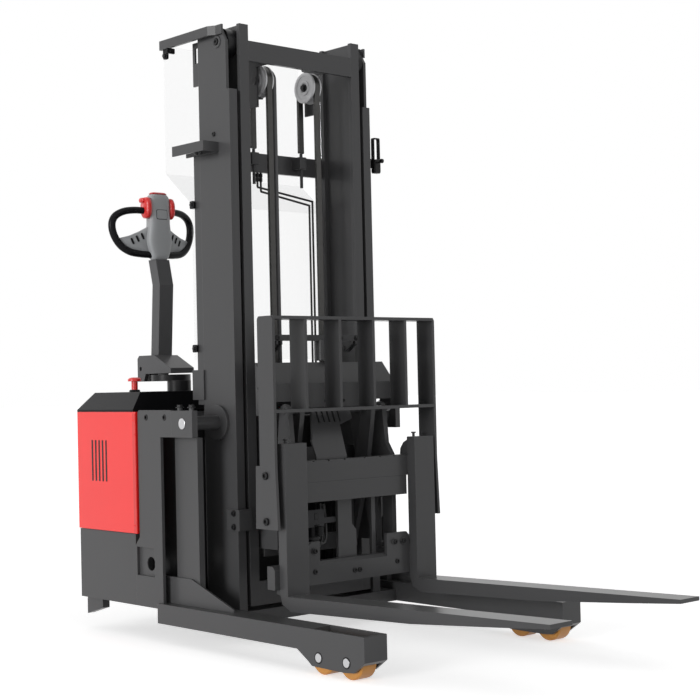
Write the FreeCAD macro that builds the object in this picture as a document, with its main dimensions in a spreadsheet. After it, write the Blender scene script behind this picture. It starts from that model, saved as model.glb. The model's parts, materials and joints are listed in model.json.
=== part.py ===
import FreeCAD, Part
import math
import os
import re
import Sketcher

os.makedirs("parts", exist_ok=True)
doc = FreeCAD.newDocument("PalletStacker")

# ---------------------------------------------------------------- sizes
# Millimetres. "ahead" places run forward from the rear end of the straddle legs (world -Y),
# "wide" places run out from the centre line, "high" places are heights over the floor.
# The origin is on the floor, on the centre line, half way along the truck.
SIZES = {
    "origin_ahead": 583,
    # straddle legs and load rollers
    "leg_set": 85, "leg_wide": 95, "leg_low": 72, "leg_top": 142, "leg_front": 1090,
    "leg_toe_start": 772, "leg_toe_low": 24, "bay_rear": 812, "bay_front": 1076, "bay_roof": 122,
    "slot_rear": 837, "cheek_thick": 10, "axle_rear": 876, "axle_front": 1007, "axle_high": 55,
    "axle_rad": 14, "axle_proud": 1.5, "roller_rad": 55, "roller_gap": 5.5, "bore_gap": 0.05,
    "gusset_set": 45, "gusset_thick": 8, "gusset_rear": -25, "gusset_front": 390,
    "gusset_flat": 150, "gusset_top": 236, "gusset_toe": 152,
    "upright_set": 21, "upright_rear": 56, "upright_front": 190, "upright_top": 732,
    # side frame plates
    "plate_thick": 12, "plate_low": 121, "plate_rear": -145, "plate_notch": -1,
    "plate_front": 24, "plate_ear": 91, "plate_ear_low": 734, "plate_top": 830, "plate_neck": -118,
    "plate_neck_low": 370, "plate_hip": 340, "window_rear": -137, "window_front": -25,
    "window_low": 232, "window_top": 335, "backing_thick": 6, "backing_hole": 25,
    "backing_hole_ahead": -65, "backing_hole_high": 276, "plate_hole_rad": 10,
    "plate_hole_rear": -64, "plate_hole_front": 50, "plate_hole_high": 804,
    # clamps holding the mast shaft
    "clamp_deep": 24, "clamp_rear": 91, "clamp_front": 217, "clamp_low": 734, "clamp_top": 828,
    "shaft_ahead": 157.6, "shaft_high": 782, "shaft_rad": 20, "sleeve_rad": 25,
    "collar_rad": 62, "collar_wide": 12,
    "clamp_bolt_rear": 130, "clamp_bolt_front": 200, "clamp_bolt_rad": 9, "clamp_bolt_top": 845,
    # chassis box, covers and cowl
    "skirt_wide": 500, "skirt_rear": -520, "skirt_front": -145, "skirt_low": 121, "skirt_top": 380,
    "skirt_thick": 8, "cowl_hole": 54, "column_wide": -170, "column_ahead": -318,
    "cover_proud": 5, "cover_front": -125, "cover_low": 382, "cover_top": 824, "cover_skin": 4,
    "vent_rear": -421, "vent_pitch": 23.6, "vent_slot": 8, "vent_low": 565,
    "vent_top": 718, "return_deep": 22,
    "wall_thick": 6, "cowl_low": 818, "cowl_lip": 832, "cowl_top": 896,
    "cowl_lean": 31, "cowl_rear": -520, "cowl_front": -140,
    "cowl_top_rear": -449, "cowl_top_front": -143, "cowl_skin": 5,
    "stop_in": 92, "stop_ahead": -270, "stop_ring_rad": 15, "stop_ring_tall": 7,
    "stop_stem_rad": 12, "stop_cap_rad": 25, "stop_cap_low": 936, "stop_cap_top": 951,
    "tray_front": 60, "tray_low": 121, "tray_top": 142,
    "battery_set": 75, "battery_rear": -137, "battery_front": 8, "battery_top": 790,
    "skid_in": 440, "skid_out": 470, "skid_rear": -527, "skid_front": -420, "skid_rear_low": 51,
    "skid_front_low": 81,
    # mast base and outer mast
    "base_rear": 60, "base_front": 262, "base_low": 72, "base_top": 115,
    "rail_in": 303, "rail_web": 326, "rail_out": 338, "rail_rear": 75, "rail_front": 256,
    "flange_thick": 16, "rail_low": 115, "rail_top": 2200, "rail_cut_low": 1965,
    "guide_ahead": 189.5, "guide_high": 2141, "guide_rad": 50, "guide_in": 276, "guide_wide": 46,
    "guide_hub_rad": 18, "guide_low_ahead": 141.5, "guide_low_high": 205,
    "cross_rear": 54, "cross_front": 69, "cross_low": 1709, "cross_top": 1780,
    "foot_tie_front": 275, "foot_tie_rear": 205, "foot_tie_low": 401, "foot_tie_top": 475,
    "foot_tie_out": 347, "foot_tie_in": 290,
    "barrel_wide": 285, "barrel_ahead": 38, "barrel_rad": 24, "barrel_bore": 16, "barrel_top": 1790,
    "bore_floor": 590, "rod_rad": 15, "rod_low": 600, "rod_set": 137,
    "top_bar_in": 350, "top_bar_thick": 12, "top_bar_rear": -132, "top_bar_joggle": 166,
    "top_bar_seat": 194, "top_bar_front": 228, "top_bar_low": 2164, "top_bar_top": 2198,
    "mid_bar_rear": -2, "mid_bar_front": 181, "mid_bar_out": 406, "mid_bar_low": 1747,
    "mid_bar_top": 1783, "mid_bar_skin": 6, "switch_in": 400, "switch_out": 433,
    "switch_rear": 187, "switch_front": 215, "switch_low": 1725, "switch_top": 1863,
    # clear screen and its bars
    "screen_wide": 328, "screen_thick": 5, "screen_front": 9, "screen_low": 1008,
    "screen_bend_low": 1578, "screen_bend_top": 1708, "screen_rear": -155, "screen_top": 2190,
    "bar_in": 330, "bar_rear": 37, "bar_low": 845, "lug_in": 310, "lug_out": 345,
    "lug_rear": 12, "lug_front": 80, "lug_low": 863, "lug_top": 971, "lug_thick": 6,
    "clip_low": 1037, "clip_top": 1560, "clip_tall": 24, "clip_in": 314,
    "knob_high": 2176, "knob_ahead": -120, "knob_rad": 11,
    # hydraulic pipes
    "pipe_rad": 4, "pipe_gland_wide": -59, "pipe_ahead": 56, "pipe_drop": 1655,
    "pipe_slope_high": 1617, "pipe_far_wide": 211, "pipe_pitch": 16,
    # inner mast
    "inner_in": 247, "inner_out": 287, "inner_web_in": 262, "inner_web_out": 272,
    "inner_low": 130, "inner_top": 2203, "head_low": 2074, "head_top": 2146,
    "sill_low": 130, "sill_top": 215, "eye_rear": 8, "eye_in": 250, "eye_out": 312,
    "eye_tall": 160, "eye_above": 104, "eye_plate": 7, "eye_gap": 6,
    "wheel_wide": 115, "wheel_ahead": 156, "wheel_high": 2030, "wheel_rad": 58, "groove_rad": 43,
    "wheel_half": 18, "groove_half": 13, "wheel_hub_rad": 16,
    "chain_half": 11, "chain_tall": 12, "chain_back_low": 1790, "chain_front_low": 872,
    "anchor_rad": 6, "anchor_low": 1657, "anchor_block": 16,
    "hanger_half": 22, "hanger_thick": 7, "hanger_low": 1931, "hanger_rear": 108, "hanger_front": 172,
    # carriage
    "truck_in": 222, "truck_thick": 12, "truck_rear": 140, "truck_front": 346, "truck_low": 330,
    "truck_step_high": 950, "truck_step_ahead": 268,
    "truck_wheel_rad": 48, "truck_wheel_out": 259, "truck_wheel_low": 430, "truck_wheel_top": 870,
    "head_bar_rear": 300, "head_bar_front": 314, "head_bar_low": 1068,
    "head_bar_top": 1090, "hood_wide": 300, "hood_rear": 329, "hood_crest": 990,
    "hood_front": 392, "hood_lip": 915, "hood_low": 828, "hood_chin": 361, "hood_chin_low": 804,
    "hood_skin": 5, "hood_slot_in": 150, "hood_slot_out": 290, "hood_slot_top": 851,
    "hood_slot_front": 400, "cross_plate_rear": 244, "cross_plate_front": 258,
    "low_plate_low": 300, "low_plate_top": 360, "mid_plate_low": 600, "mid_plate_top": 680,
    "yoke_half": 22, "yoke_gap": 0.3, "yoke_thick": 6, "yoke_low": 836, "yoke_top": 900, "yoke_rear": 186,
    "chain_pin_rad": 6, "chain_pin_high": 884, "guide_post_in": 128, "guide_post_out": 156,
    "guide_post_rear": 258, "guide_post_front": 318, "guide_post_low": 288, "guide_post_top": 586,
    "guide_slot": 14, "strut_wide": 166, "strut_gap": 14, "strut_plate": 6, "strut_rad": 6,
    "strut_rear": 262, "strut_low": 1028, "strut_high": 1044, "can_wide": 40, "can_rad": 34,
    "can_ahead": 298, "can_low": 996,
    # scissor reach arms
    "reach_rear": 290, "reach_spread": 106, "reach_high": 818, "reach_drop": 500,
    "arm_outer_in": 190, "arm_inner_in": 160, "arm_thick": 20, "arm_half": 36, "arm_eye": 26,
    "arm_toe": 11, "reach_pin_rad": 12, "toe_pin_rad": 8,
    # fork frame
    "bar_back": 462, "bar_front": 502, "upper_low": 571, "upper_top": 646,
    "apron_low": 502, "apron_set": 1,
    "notch_rad": 5, "notch_near": 48, "notch_mid": 123, "notch_far": 193, "lower_low": 217,
    "lower_top": 296, "lower_bevel": 12,
    "rib_in": 215, "rib_thick": 20, "rib_rear": 352, "rib_low": 230, "rib_neck": 432,
    "rib_eye": 24, "toe_slot": 14, "toe_slot_low": 304, "toe_slot_top": 576,
    "lug_plate": 14, "lug_plate_low": 280, "lug_plate_top": 366, "lug_bevel": 18,
    "lug_near_out": -228, "lug_near_in": -173, "lug_near_pin": -200, "lug_far_in": 147, "lug_far_out": 263,
    "lug_far_pin": 182, "lug_far_pin_out": 225, "lug_pin_high": 334, "lug_pin_rad": 11, "lug_pin_proud": 7,
    "centre_left": -51, "centre_right": 15, "centre_step": 35, "centre_high": 400,
    "centre_thick": 12, "centre_front": 462, "mullion_wide": 120, "mullion_half": 9,
    "valve_wide": -140, "valve_ahead": 424, "valve_rad": 27, "valve_low": 335, "valve_top": 425,
    "valve_plate_top": 470, "valve_plate_out": -184, "valve_plate_in": -105,
    "slat_top": 816, "slat_low": 655, "slat_thick": 8, "slat_top_ahead": 404, "slat_low_ahead": 474,
    "slat_top_left": -119, "slat_top_right": 61, "slat_low_left": -161, "slat_low_right": -22,
    "slat_waist_left": -157, "slat_waist_left_high": 715, "slat_waist_right": -8,
    "slat_waist_right_high": 764,
    "slat_shoulder": 31, "slat_slot": 9, "slat_slot_first": -106, "slat_slot_pitch": 25,
    "slat_slot_low": 774,
    # forks
    "fork_in": 258, "fork_out": 355, "fork_front": 543, "fork_heel_low": 148, "fork_low": 197,
    "fork_top": 711, "fork_tip": 1693, "fork_tip_low": 212, "fork_tip_top": 225,
    "fork_mid": 1130, "fork_mid_low": 168, "fork_far": 1500, "fork_far_low": 196,
    "fork_gap": 0.3, "hook_in": 270, "hook_out": 343, "hook_rear": 450, "hook_drop": 628,
    "hook_lug_rear": 470, "hook_lug_low": 199, "latch_rad": 5, "latch_cap_rad": 9,
    "latch_up": 16, "latch_ahead": 488,
    # load backrest
    "rest_wide": 387, "rest_thick": 11, "rest_rear": 447, "rest_front": 529, "rest_top": 1146,
    "rest_low": 827, "rest_foot": 422, "rest_flare_high": 636, "rest_flare_rear": 425,
    "rest_flare_front": 538, "rest_mid": 238, "rest_near": 80, "rest_round": 14,
    # drive unit and tiller
    "post_rad": 46, "post_top": 936, "turret_rad": 77, "turret_ahead": -372,
    "turret_low": 935, "turret_top": 960, "hinge_ahead": -498, "hinge_high": 985, "hinge_rad": 8,
    "hinge_eye": 12,
    "lug_half": 20, "motor_rad": 70, "motor_low": 270, "motor_top": 362, "yoke_plate_in": 46,
    "yoke_plate_thick": 12, "yoke_plate_half": 60, "yoke_plate_low": 90, "drive_rad": 115,
    "drive_half": 37.5, "drive_axle_rad": 15,
    "hood_left": -225, "hood_right": -115, "hood_back": -520, "hood_nose": -295,
    "hood_top": 1037, "hood_under": 965, "hood_wall": 8,
    "stem_half": 32, "stem_deep": 50, "stem_foot": -433, "stem_knee": -414, "stem_knee_high": 1313,
    "stem_head": -438, "stem_head_high": 1413, "grip_deep": 26, "grip_foot": 42, "grip_hip": 62,
    "grip_neck": 33, "grip_brow": 43, "grip_hip_up": 77, "grip_neck_up": 142, "grip_brow_up": 217,
    "grip_top_up": 261, "wing_half": 12, "wing_low_up": 40, "wing_top_up": 132, "wing_tip_up": 78,
    "loop_rad": 14, "loop_wide": 183, "loop_sweep": 47, "loop_low_up": 24, "loop_top_up": 184,
    "loop_bend": 48, "button_rad": 13, "button_tall": 8, "control_rad": 30, "control_out": 74,
    "control_up": 192,
    # stabiliser castor
    "castor_wide": 310, "castor_ahead": -330, "castor_trail": 38, "castor_wheel_rad": 75,
    "castor_wheel_half": 22, "castor_fork_thick": 8, "castor_top": 190, "castor_head_top": 244,
    "castor_stem_rad": 15, "castor_plate_low": 216, "castor_plate_thick": 10,
}

sheet = doc.addObject("Spreadsheet::Sheet", "dims")
for row, (alias, number) in enumerate(SIZES.items(), start=1):
    sheet.set(f"A{row}", alias)
    sheet.set(f"B{row}", str(number))
    sheet.setAlias(f"B{row}", alias)
doc.recompute()

# Places that always follow other sizes, written once as rules.
LINKED = {
    "leg_in": "skirt_wide - leg_set",
    "battery_wide": "skirt_wide - battery_set",
    "rod_top": "inner_top - rod_set",
    "eye_top": "rod_top + eye_above",
    "eye_low": "eye_top - eye_tall",
    "latch_top": "fork_top + latch_up",
    "leg_out": "leg_in + leg_wide",
    "roller_wide": "leg_wide - 2 * cheek_thick - 2 * roller_gap",
    "gusset_in": "leg_in + gusset_set",
    "upright_in": "leg_in + upright_set",
    "plate_out": "skirt_wide",
    "plate_in": "skirt_wide - plate_thick",
    "clamp_in": "skirt_wide - clamp_deep",
    "cover_wide": "skirt_wide + cover_proud",
    "return_in": "skirt_wide - return_deep",
    "cowl_wide": "skirt_wide + cover_proud",
    "cowl_top_wide": "skirt_wide - cowl_lean",
    "stop_wide": "stop_in - skirt_wide",
    "tray_wide": "skirt_wide - plate_thick",
    "tray_nose": "leg_in",
    "frame_wide": "rest_wide - rest_thick",
    "reach_front": "reach_rear + reach_spread",
    "toe_high": "reach_high - reach_drop",
}

WORD = re.compile(r"[a-z]+(?:_[a-z]+)+")
RIGHT, LEFT = -1, 1
SIDES = {"right": RIGHT, "left": LEFT}
# origin plane of each view, the rules that turn its two places into sketch axes, and the rule
# for the offset along its normal; the "own" views are for bodies with an origin of their own
ALONG = "origin_ahead - ({})"
VIEWS = {
    "side": ("YZ_Plane", ALONG, "{}", "{}"),
    "plan": ("XY_Plane", "{}", ALONG, "{}"),
    "front": ("XZ_Plane", "{}", "{}", "({}) - origin_ahead"),
    "own_side": ("YZ_Plane", "-({})", "{}", "{}"),
    "own_front": ("XZ_Plane", "{}", "{}", "{}"),
}
GUARD_SLOTS = 5
VENT_SLOTS = 5
NODES = []


# ---------------------------------------------------------------- helpers
def swapped(word):
    """Rule in brackets for a linked name, or the word unchanged."""
    name = word.group(0)
    return f"({LINKED[name]})" if name in LINKED else name


def spelled(rule):
    """Rule with its linked names written out in the names of the sheet."""
    text = str(rule)
    while any(word in LINKED for word in WORD.findall(text)):
        text = WORD.sub(swapped, text)
    return text


def bind(item, prop, rule):
    """Tie a property to a rule written in the names of the sheet."""
    item.setExpression(prop, WORD.sub(lambda word: f"dims.{word.group(0)}", spelled(rule)))


def amount(rule):
    """Number that a rule comes to at the present sizes."""
    text = WORD.sub(lambda word: f"({SIZES[word.group(0)]})", spelled(rule))
    return FreeCAD.Units.Quantity(text).Value


def sided(side, near, far):
    """Low and high X rules of a span from near to far off the centre line, on one side."""
    if side == LEFT:
        return str(near), str(far)
    return f"-({far})", f"-({near})"


def block(name, wide, ahead, high):
    """Box between three pairs of rules."""
    solid = doc.addObject("Part::Box", name)
    for prop, (low, top) in (("Length", wide), ("Width", ahead), ("Height", high)):
        bind(solid, prop, f"({top}) - ({low})")
    bind(solid, "Placement.Base.x", wide[0])
    bind(solid, "Placement.Base.y", ALONG.format(ahead[1]))
    bind(solid, "Placement.Base.z", high[0])
    return solid


def rod(name, axis, radius, span, first, second):
    """Cylinder along wide, ahead or high; first and second place it on the other two."""
    solid = doc.addObject("Part::Cylinder", name)
    bind(solid, "Radius", radius)
    bind(solid, "Height", f"({span[1]}) - ({span[0]})")
    if axis == "wide":
        solid.Placement.Rotation = FreeCAD.Rotation(FreeCAD.Vector(0, 1, 0), 90)
        base = (span[0], ALONG.format(first), second)
    elif axis == "ahead":
        solid.Placement.Rotation = FreeCAD.Rotation(FreeCAD.Vector(1, 0, 0), 90)
        base = (first, ALONG.format(span[0]), second)
    else:
        base = (first, ALONG.format(second), span[0])
    for letter, rule in zip("xyz", base):
        bind(solid, f"Placement.Base.{letter}", rule)
    return solid


def join(name, solids):
    """Fuse touching solids into one."""
    fused = doc.addObject("Part::MultiFuse", name)
    fused.Shapes = solids
    fused.Refine = True
    return fused


def group(name, solids):
    """Keep separate solids of one node together."""
    together = doc.addObject("Part::Compound", name)
    together.Links = solids
    return together


def cut(name, base, tools):
    """Take tools away from a base."""
    result = doc.addObject("Part::Cut", name)
    result.Base = base
    result.Tool = tools[0] if len(tools) == 1 else join(name + "Tools", tools)
    return result


def node(label, item):
    """Register a finished sub-part under the name of its file."""
    item.Label = label
    NODES.append(item)
    return item


def sketch_on(body, name, view, start):
    """Sketch on an origin plane of the body, moved along its normal to start."""
    sketch = body.newObject("Sketcher::SketchObject", name)
    role = VIEWS[view][0]
    plane = [feature for feature in body.Origin.OriginFeatures if feature.Role == role][0]
    sketch.AttachmentSupport = [(plane, "")]
    sketch.MapMode = "FlatFace"
    bind(sketch, "AttachmentOffset.Base.z", VIEWS[view][3].format(start))
    return sketch


def draw_outline(sketch, view, points, closed=True):
    """Outline or open path through points, each tied to the sheet by two distances."""
    _, across, up, _ = VIEWS[view]
    rules = [(across.format(first), up.format(second)) for first, second in points]
    corners = [FreeCAD.Vector(amount(first), amount(second), 0) for first, second in rules]
    count = len(corners) if closed else len(corners) - 1
    lines = [Part.LineSegment(corners[i], corners[(i + 1) % len(corners)]) for i in range(count)]
    sketch.addGeometry(lines, False)
    pairs = [(i, (i + 1) % count) for i in range(count if closed else count - 1)]
    ties = [Sketcher.Constraint("Coincident", i, 2, after, 1) for i, after in pairs]
    for i, corner in enumerate(corners):
        spot = (i, 1) if i < count else (count - 1, 2)
        ties.append(Sketcher.Constraint("DistanceX", -1, 1, *spot, corner.x))
        ties.append(Sketcher.Constraint("DistanceY", -1, 1, *spot, corner.y))
    sketch.addConstraint(ties)
    for i, (first, second) in enumerate(rules):
        bind(sketch, f"Constraints[{len(pairs) + 2 * i}]", first)
        bind(sketch, f"Constraints[{len(pairs) + 2 * i + 1}]", second)


def draw_circles(sketch, view, circles):
    """Circles given as (first, second, radius) rules, tied to the sheet."""
    _, across, up, _ = VIEWS[view]
    for i, (first, second, radius) in enumerate(circles):
        rules = (across.format(first), up.format(second), radius)
        centre = FreeCAD.Vector(amount(rules[0]), amount(rules[1]), 0)
        sketch.addGeometry([Part.Circle(centre, FreeCAD.Vector(0, 0, 1), amount(radius))], False)
        sketch.addConstraint([
            Sketcher.Constraint("DistanceX", -1, 1, i, 3, centre.x),
            Sketcher.Constraint("DistanceY", -1, 1, i, 3, centre.y),
            Sketcher.Constraint("Radius", i, amount(radius)),
        ])
        for offset, rule in enumerate(rules):
            bind(sketch, f"Constraints[{3 * i + offset}]", rule)


def padded(name, view, start, depth, points):
    """PartDesign body: an outline padded from start along the view's normal."""
    body = doc.addObject("PartDesign::Body", name)
    sketch = sketch_on(body, name + "Sketch", view, start)
    draw_outline(sketch, view, points)
    pad = body.newObject("PartDesign::Pad", name + "Pad")
    pad.Profile = sketch
    bind(pad, "Length", depth)
    doc.recompute()
    return body


def pocketed(body, name, view, points=None, circles=None, middle="0", depth=None):
    """Pocket an outline or circles, right through or depth long about the middle."""
    before = body.Shape.Volume
    sketch = sketch_on(body, name + "Sketch", view, middle)
    if points:
        draw_outline(sketch, view, points)
    else:
        draw_circles(sketch, view, circles)
    pocket = body.newObject("PartDesign::Pocket", name)
    pocket.Profile = sketch
    pocket.Midplane = True
    if depth is None:
        pocket.Type = "ThroughAll"
    else:
        bind(pocket, "Length", depth)
    doc.recompute()
    if body.Shape.Volume >= before:
        raise RuntimeError(f"{name} takes nothing away")
    return body


def rounded(body, name, radius, wanted):
    """Round the straight edges that wanted() picks by their two end points."""
    names = []
    for number, edge in enumerate(body.Shape.Edges, start=1):
        if len(edge.Vertexes) == 2 and wanted(edge.Vertexes[0].Point, edge.Vertexes[1].Point):
            names.append(f"Edge{number}")
    sharp = body.Tip
    dressed = body.newObject("PartDesign::Fillet", name)
    dressed.Base = (sharp, names)
    bind(dressed, "Radius", radius)
    doc.recompute()
    return body


def turned(name, points, centre, along="wide"):
    """PartDesign body turned about its own X axis from (reach, radius) points, then placed."""
    body = doc.addObject("PartDesign::Body", name)
    sketch = sketch_on(body, name + "Sketch", "own_front", "0")
    draw_outline(sketch, "own_front", points)
    spun = body.newObject("PartDesign::Revolution", name + "Spun")
    spun.Profile = sketch
    spun.ReferenceAxis = (sketch, ["H_Axis"])
    spun.Angle = 360
    if along == "high":
        body.Placement.Rotation = FreeCAD.Rotation(FreeCAD.Vector(0, 1, 0), -90)
    for letter, rule in zip("xyz", (centre[0], ALONG.format(centre[1]), centre[2])):
        bind(body, f"Placement.Base.{letter}", rule)
    doc.recompute()
    return body


# ---------------------------------------------------------------- straddle legs
def build_leg(word, side):
    """One straddle leg: box with a raked toe, roller bay and axle bores."""
    low, high = sided(side, "leg_in", "leg_out")
    leg = padded(f"Leg_{word}", "side", low, "leg_wide", [
        ("0", "leg_low"), ("leg_toe_start", "leg_low"), ("leg_toe_start + 53", "leg_low - 32"),
        ("leg_toe_start + 72", "leg_toe_low + 2"), ("bay_front - 76", "leg_toe_low"),
        ("leg_front - 49", "leg_toe_low + 4"), ("leg_front", "leg_low - 9"),
        ("leg_front", "leg_top"), ("0", "leg_top"),
    ])
    middle = f"{side} * (leg_in + leg_out) / 2"
    inner = "leg_wide - 2 * cheek_thick"
    pocketed(leg, f"Bay_{word}", "side", [
        ("bay_rear", "0"), ("bay_front", "0"), ("bay_front", "bay_roof"), ("bay_rear", "bay_roof"),
    ], middle=middle, depth=inner)
    pocketed(leg, f"Slot_{word}", "side", [
        ("slot_rear", "axle_high"), ("bay_front", "axle_high"), ("bay_front", "leg_top + 10"),
        ("slot_rear", "leg_top + 10"),
    ], middle=middle, depth=inner)
    pocketed(leg, f"AxleBores_{word}", "side", circles=[
        ("axle_rear", "axle_high", "axle_rad + bore_gap"),
        ("axle_front", "axle_high", "axle_rad + bore_gap"),
    ])
    node(f"straddle_leg_{word}", leg)


def build_axles():
    """Four load roller axles, one node."""
    pins = []
    for word, side in SIDES.items():
        for place in ("rear", "front"):
            span = sided(side, "leg_in - axle_proud", "leg_out + axle_proud")
            pins.append(rod(f"Axle_{word}_{place}", "wide", "axle_rad", span, f"axle_{place}", "axle_high"))
    node("load_axles", group("LoadAxles", pins))


def build_rollers():
    """Four load rollers, each its own node with a dished face."""
    for word, side in SIDES.items():
        for place in ("rear", "front"):
            centre = (f"{side} * (leg_in + leg_out) / 2", f"axle_{place}", "axle_high")
            half = "roller_wide / 2"
            roller = turned(f"Roller_{word}_{place}", [
                (f"-{half}", "axle_rad + bore_gap"), (f"{half}", "axle_rad + bore_gap"),
                (f"{half}", "roller_rad - 5"), (f"{half} - 5", "roller_rad"),
                (f"5 - {half}", "roller_rad"), (f"-{half}", "roller_rad - 5"),
            ], centre)
            node(f"load_roller_{place}_{word}", roller)


def build_brace(word, side):
    """Gusset plate on the leg and the inner upright behind the clamp."""
    low, _ = sided(side, "gusset_in", "gusset_in + gusset_thick")
    gusset = padded(f"Gusset_{word}", "side", low, "gusset_thick", [
        ("gusset_rear", "leg_top"), ("gusset_front", "leg_top"), ("gusset_front", "gusset_toe"),
        ("gusset_flat", "gusset_top"), ("gusset_rear", "gusset_top"),
    ])
    upright = block(f"Upright_{word}", sided(side, "upright_in", "gusset_in"),
                    ("upright_rear", "upright_front"), ("leg_top", "upright_top"))
    return join(f"Brace_{word}", [gusset, upright])


# ---------------------------------------------------------------- chassis
def build_frame_plate(word, side):
    """Side frame plate with its window and backing plate."""
    low, _ = sided(side, "plate_in", "plate_out")
    plate = padded(f"FramePlate_{word}", "side", low, "plate_out - plate_in", [
        ("plate_rear", "plate_low"), ("plate_notch", "plate_low"), ("plate_notch", "leg_top"),
        ("plate_front", "leg_top"), ("plate_front", "plate_ear_low"), ("plate_ear", "plate_ear_low"),
        ("plate_ear", "plate_top"), ("plate_neck + 8", "plate_top"), ("plate_neck", "plate_top - 8"),
        ("plate_neck", "plate_neck_low"), ("plate_rear", "plate_hip"),
    ])
    pocketed(plate, f"Window_{word}", "side", [
        ("window_rear", "window_low"), ("window_front", "window_low"),
        ("window_front", "window_top"), ("window_rear", "window_top"),
    ])
    pocketed(plate, f"PlateHoles_{word}", "side", circles=[
        ("plate_hole_rear", "plate_hole_high", "plate_hole_rad"),
        ("plate_hole_front", "plate_hole_high", "plate_hole_rad"),
    ])
    backing = block(f"Backing_{word}", sided(side, "plate_in - backing_thick", "plate_in"),
                    ("plate_rear", "window_front + 8"), ("window_low - 8", "window_top + 8"))
    hole = rod(f"BackingHole_{word}", "wide", "backing_hole",
               sided(side, "plate_in - 2 * backing_thick", "plate_out"),
               "backing_hole_ahead", "backing_hole_high")
    pierced = cut(f"BackingPierced_{word}", backing, [hole])
    return join(f"FrameSide_{word}", [plate, pierced])


def build_clamp(word, side):
    """Split block that holds the mast shaft, with its two bolts."""
    wide = sided(side, "clamp_in", "plate_out")
    body = block(f"ClampBody_{word}", wide, ("clamp_rear", "clamp_front"), ("clamp_low", "clamp_top"))
    bore = rod(f"ClampBore_{word}", "wide", "shaft_rad + bore_gap", wide, "shaft_ahead", "shaft_high")
    bored = cut(f"ClampBored_{word}", body, [bore])
    middle = f"{side} * (clamp_in + plate_out) / 2"
    bolts = [rod(f"ClampBolt_{word}_{place}", "high", "clamp_bolt_rad", ("clamp_top", "clamp_bolt_top"),
                 middle, f"clamp_bolt_{place}") for place in ("rear", "front")]
    return join(f"Clamp_{word}", [bored] + bolts)


def build_shafts():
    """Mast shaft ends: flange on the outer rail, sleeve, and pin in the clamp."""
    shafts = []
    spot = ("shaft_ahead", "shaft_high")
    for word, side in SIDES.items():
        pin = rod(f"Shaft_{word}", "wide", "shaft_rad", sided(side, "rail_out", "plate_out + 1"), *spot)
        sleeve = rod(f"Sleeve_{word}", "wide", "sleeve_rad",
                     sided(side, "rail_out", "clamp_in - bore_gap"), *spot)
        collar = rod(f"Collar_{word}", "wide", "collar_rad",
                     sided(side, "rail_out", "rail_out + collar_wide"), *spot)
        shafts.append(join(f"ShaftEnd_{word}", [pin, sleeve, collar]))
    node("mast_shafts", group("MastShafts", shafts))


def build_skirt():
    """Chassis box around the drive: walls and a pierced deck, open below."""
    outer = block("SkirtOuter", ("-skirt_wide", "skirt_wide"), ("skirt_rear", "skirt_front"),
                  ("skirt_low", "skirt_top"))
    inner = block("SkirtInner", ("skirt_thick - skirt_wide", "skirt_wide - skirt_thick"),
                  ("skirt_rear + skirt_thick", "skirt_front - skirt_thick"),
                  ("skirt_low - 10", "skirt_top - skirt_thick"))
    hole = rod("DeckHole", "high", "post_rad + bore_gap", ("skirt_top - 2 * skirt_thick", "skirt_top + 5"),
               "column_wide", "column_ahead")
    shell = cut("SkirtShell", outer, [inner, hole])
    plate = block("CastorPlate", ("castor_wide - 60", "castor_wide + 60"),
                  ("castor_ahead - 55", "castor_ahead + 55"),
                  ("castor_plate_low", "castor_plate_low + castor_plate_thick"))
    post = block("CastorPost", ("castor_wide - 40", "castor_wide + 40"),
                 ("castor_ahead - 40", "castor_ahead + 40"),
                 ("castor_plate_low + castor_plate_thick", "skirt_top - skirt_thick"))
    skids = [padded(f"Skid_{word}", "side", sided(side, "skid_in", "skid_out")[0], "skid_out - skid_in", [
        ("skid_rear", "skid_rear_low"), ("skid_front", "skid_front_low"), ("skid_front", "skirt_low"),
        ("skirt_rear", "skirt_low"), ("skid_rear", "skirt_low - 12"),
    ]) for word, side in SIDES.items()]
    bore = rod("CastorBore", "high", "castor_stem_rad + bore_gap",
               ("castor_plate_low", "castor_head_top + 2"),
               "castor_wide", "castor_ahead")
    mount = cut("CastorMount", join("CastorMountSolid", [plate, post]), [bore])
    node("chassis_box", join("ChassisBox", [shell, mount] + skids))


def build_battery():
    """Battery, its tray and the cross beam that carries the mast."""
    rear = block("TrayRear", ("-tray_wide", "tray_wide"), ("skirt_front", "plate_notch"),
                 ("tray_low", "tray_top"))
    nose = block("TrayNose", ("-tray_nose", "tray_nose"), ("plate_notch", "tray_front"),
                 ("tray_low", "tray_top"))
    node("battery_tray", join("BatteryTray", [rear, nose]))
    node("battery", block("Battery", ("-battery_wide", "battery_wide"), ("battery_rear", "battery_front"),
                          ("tray_top", "battery_top")))
    node("mast_base", block("MastBase", ("-leg_in", "leg_in"), ("base_rear", "base_front"),
                            ("base_low", "base_top")))


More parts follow.
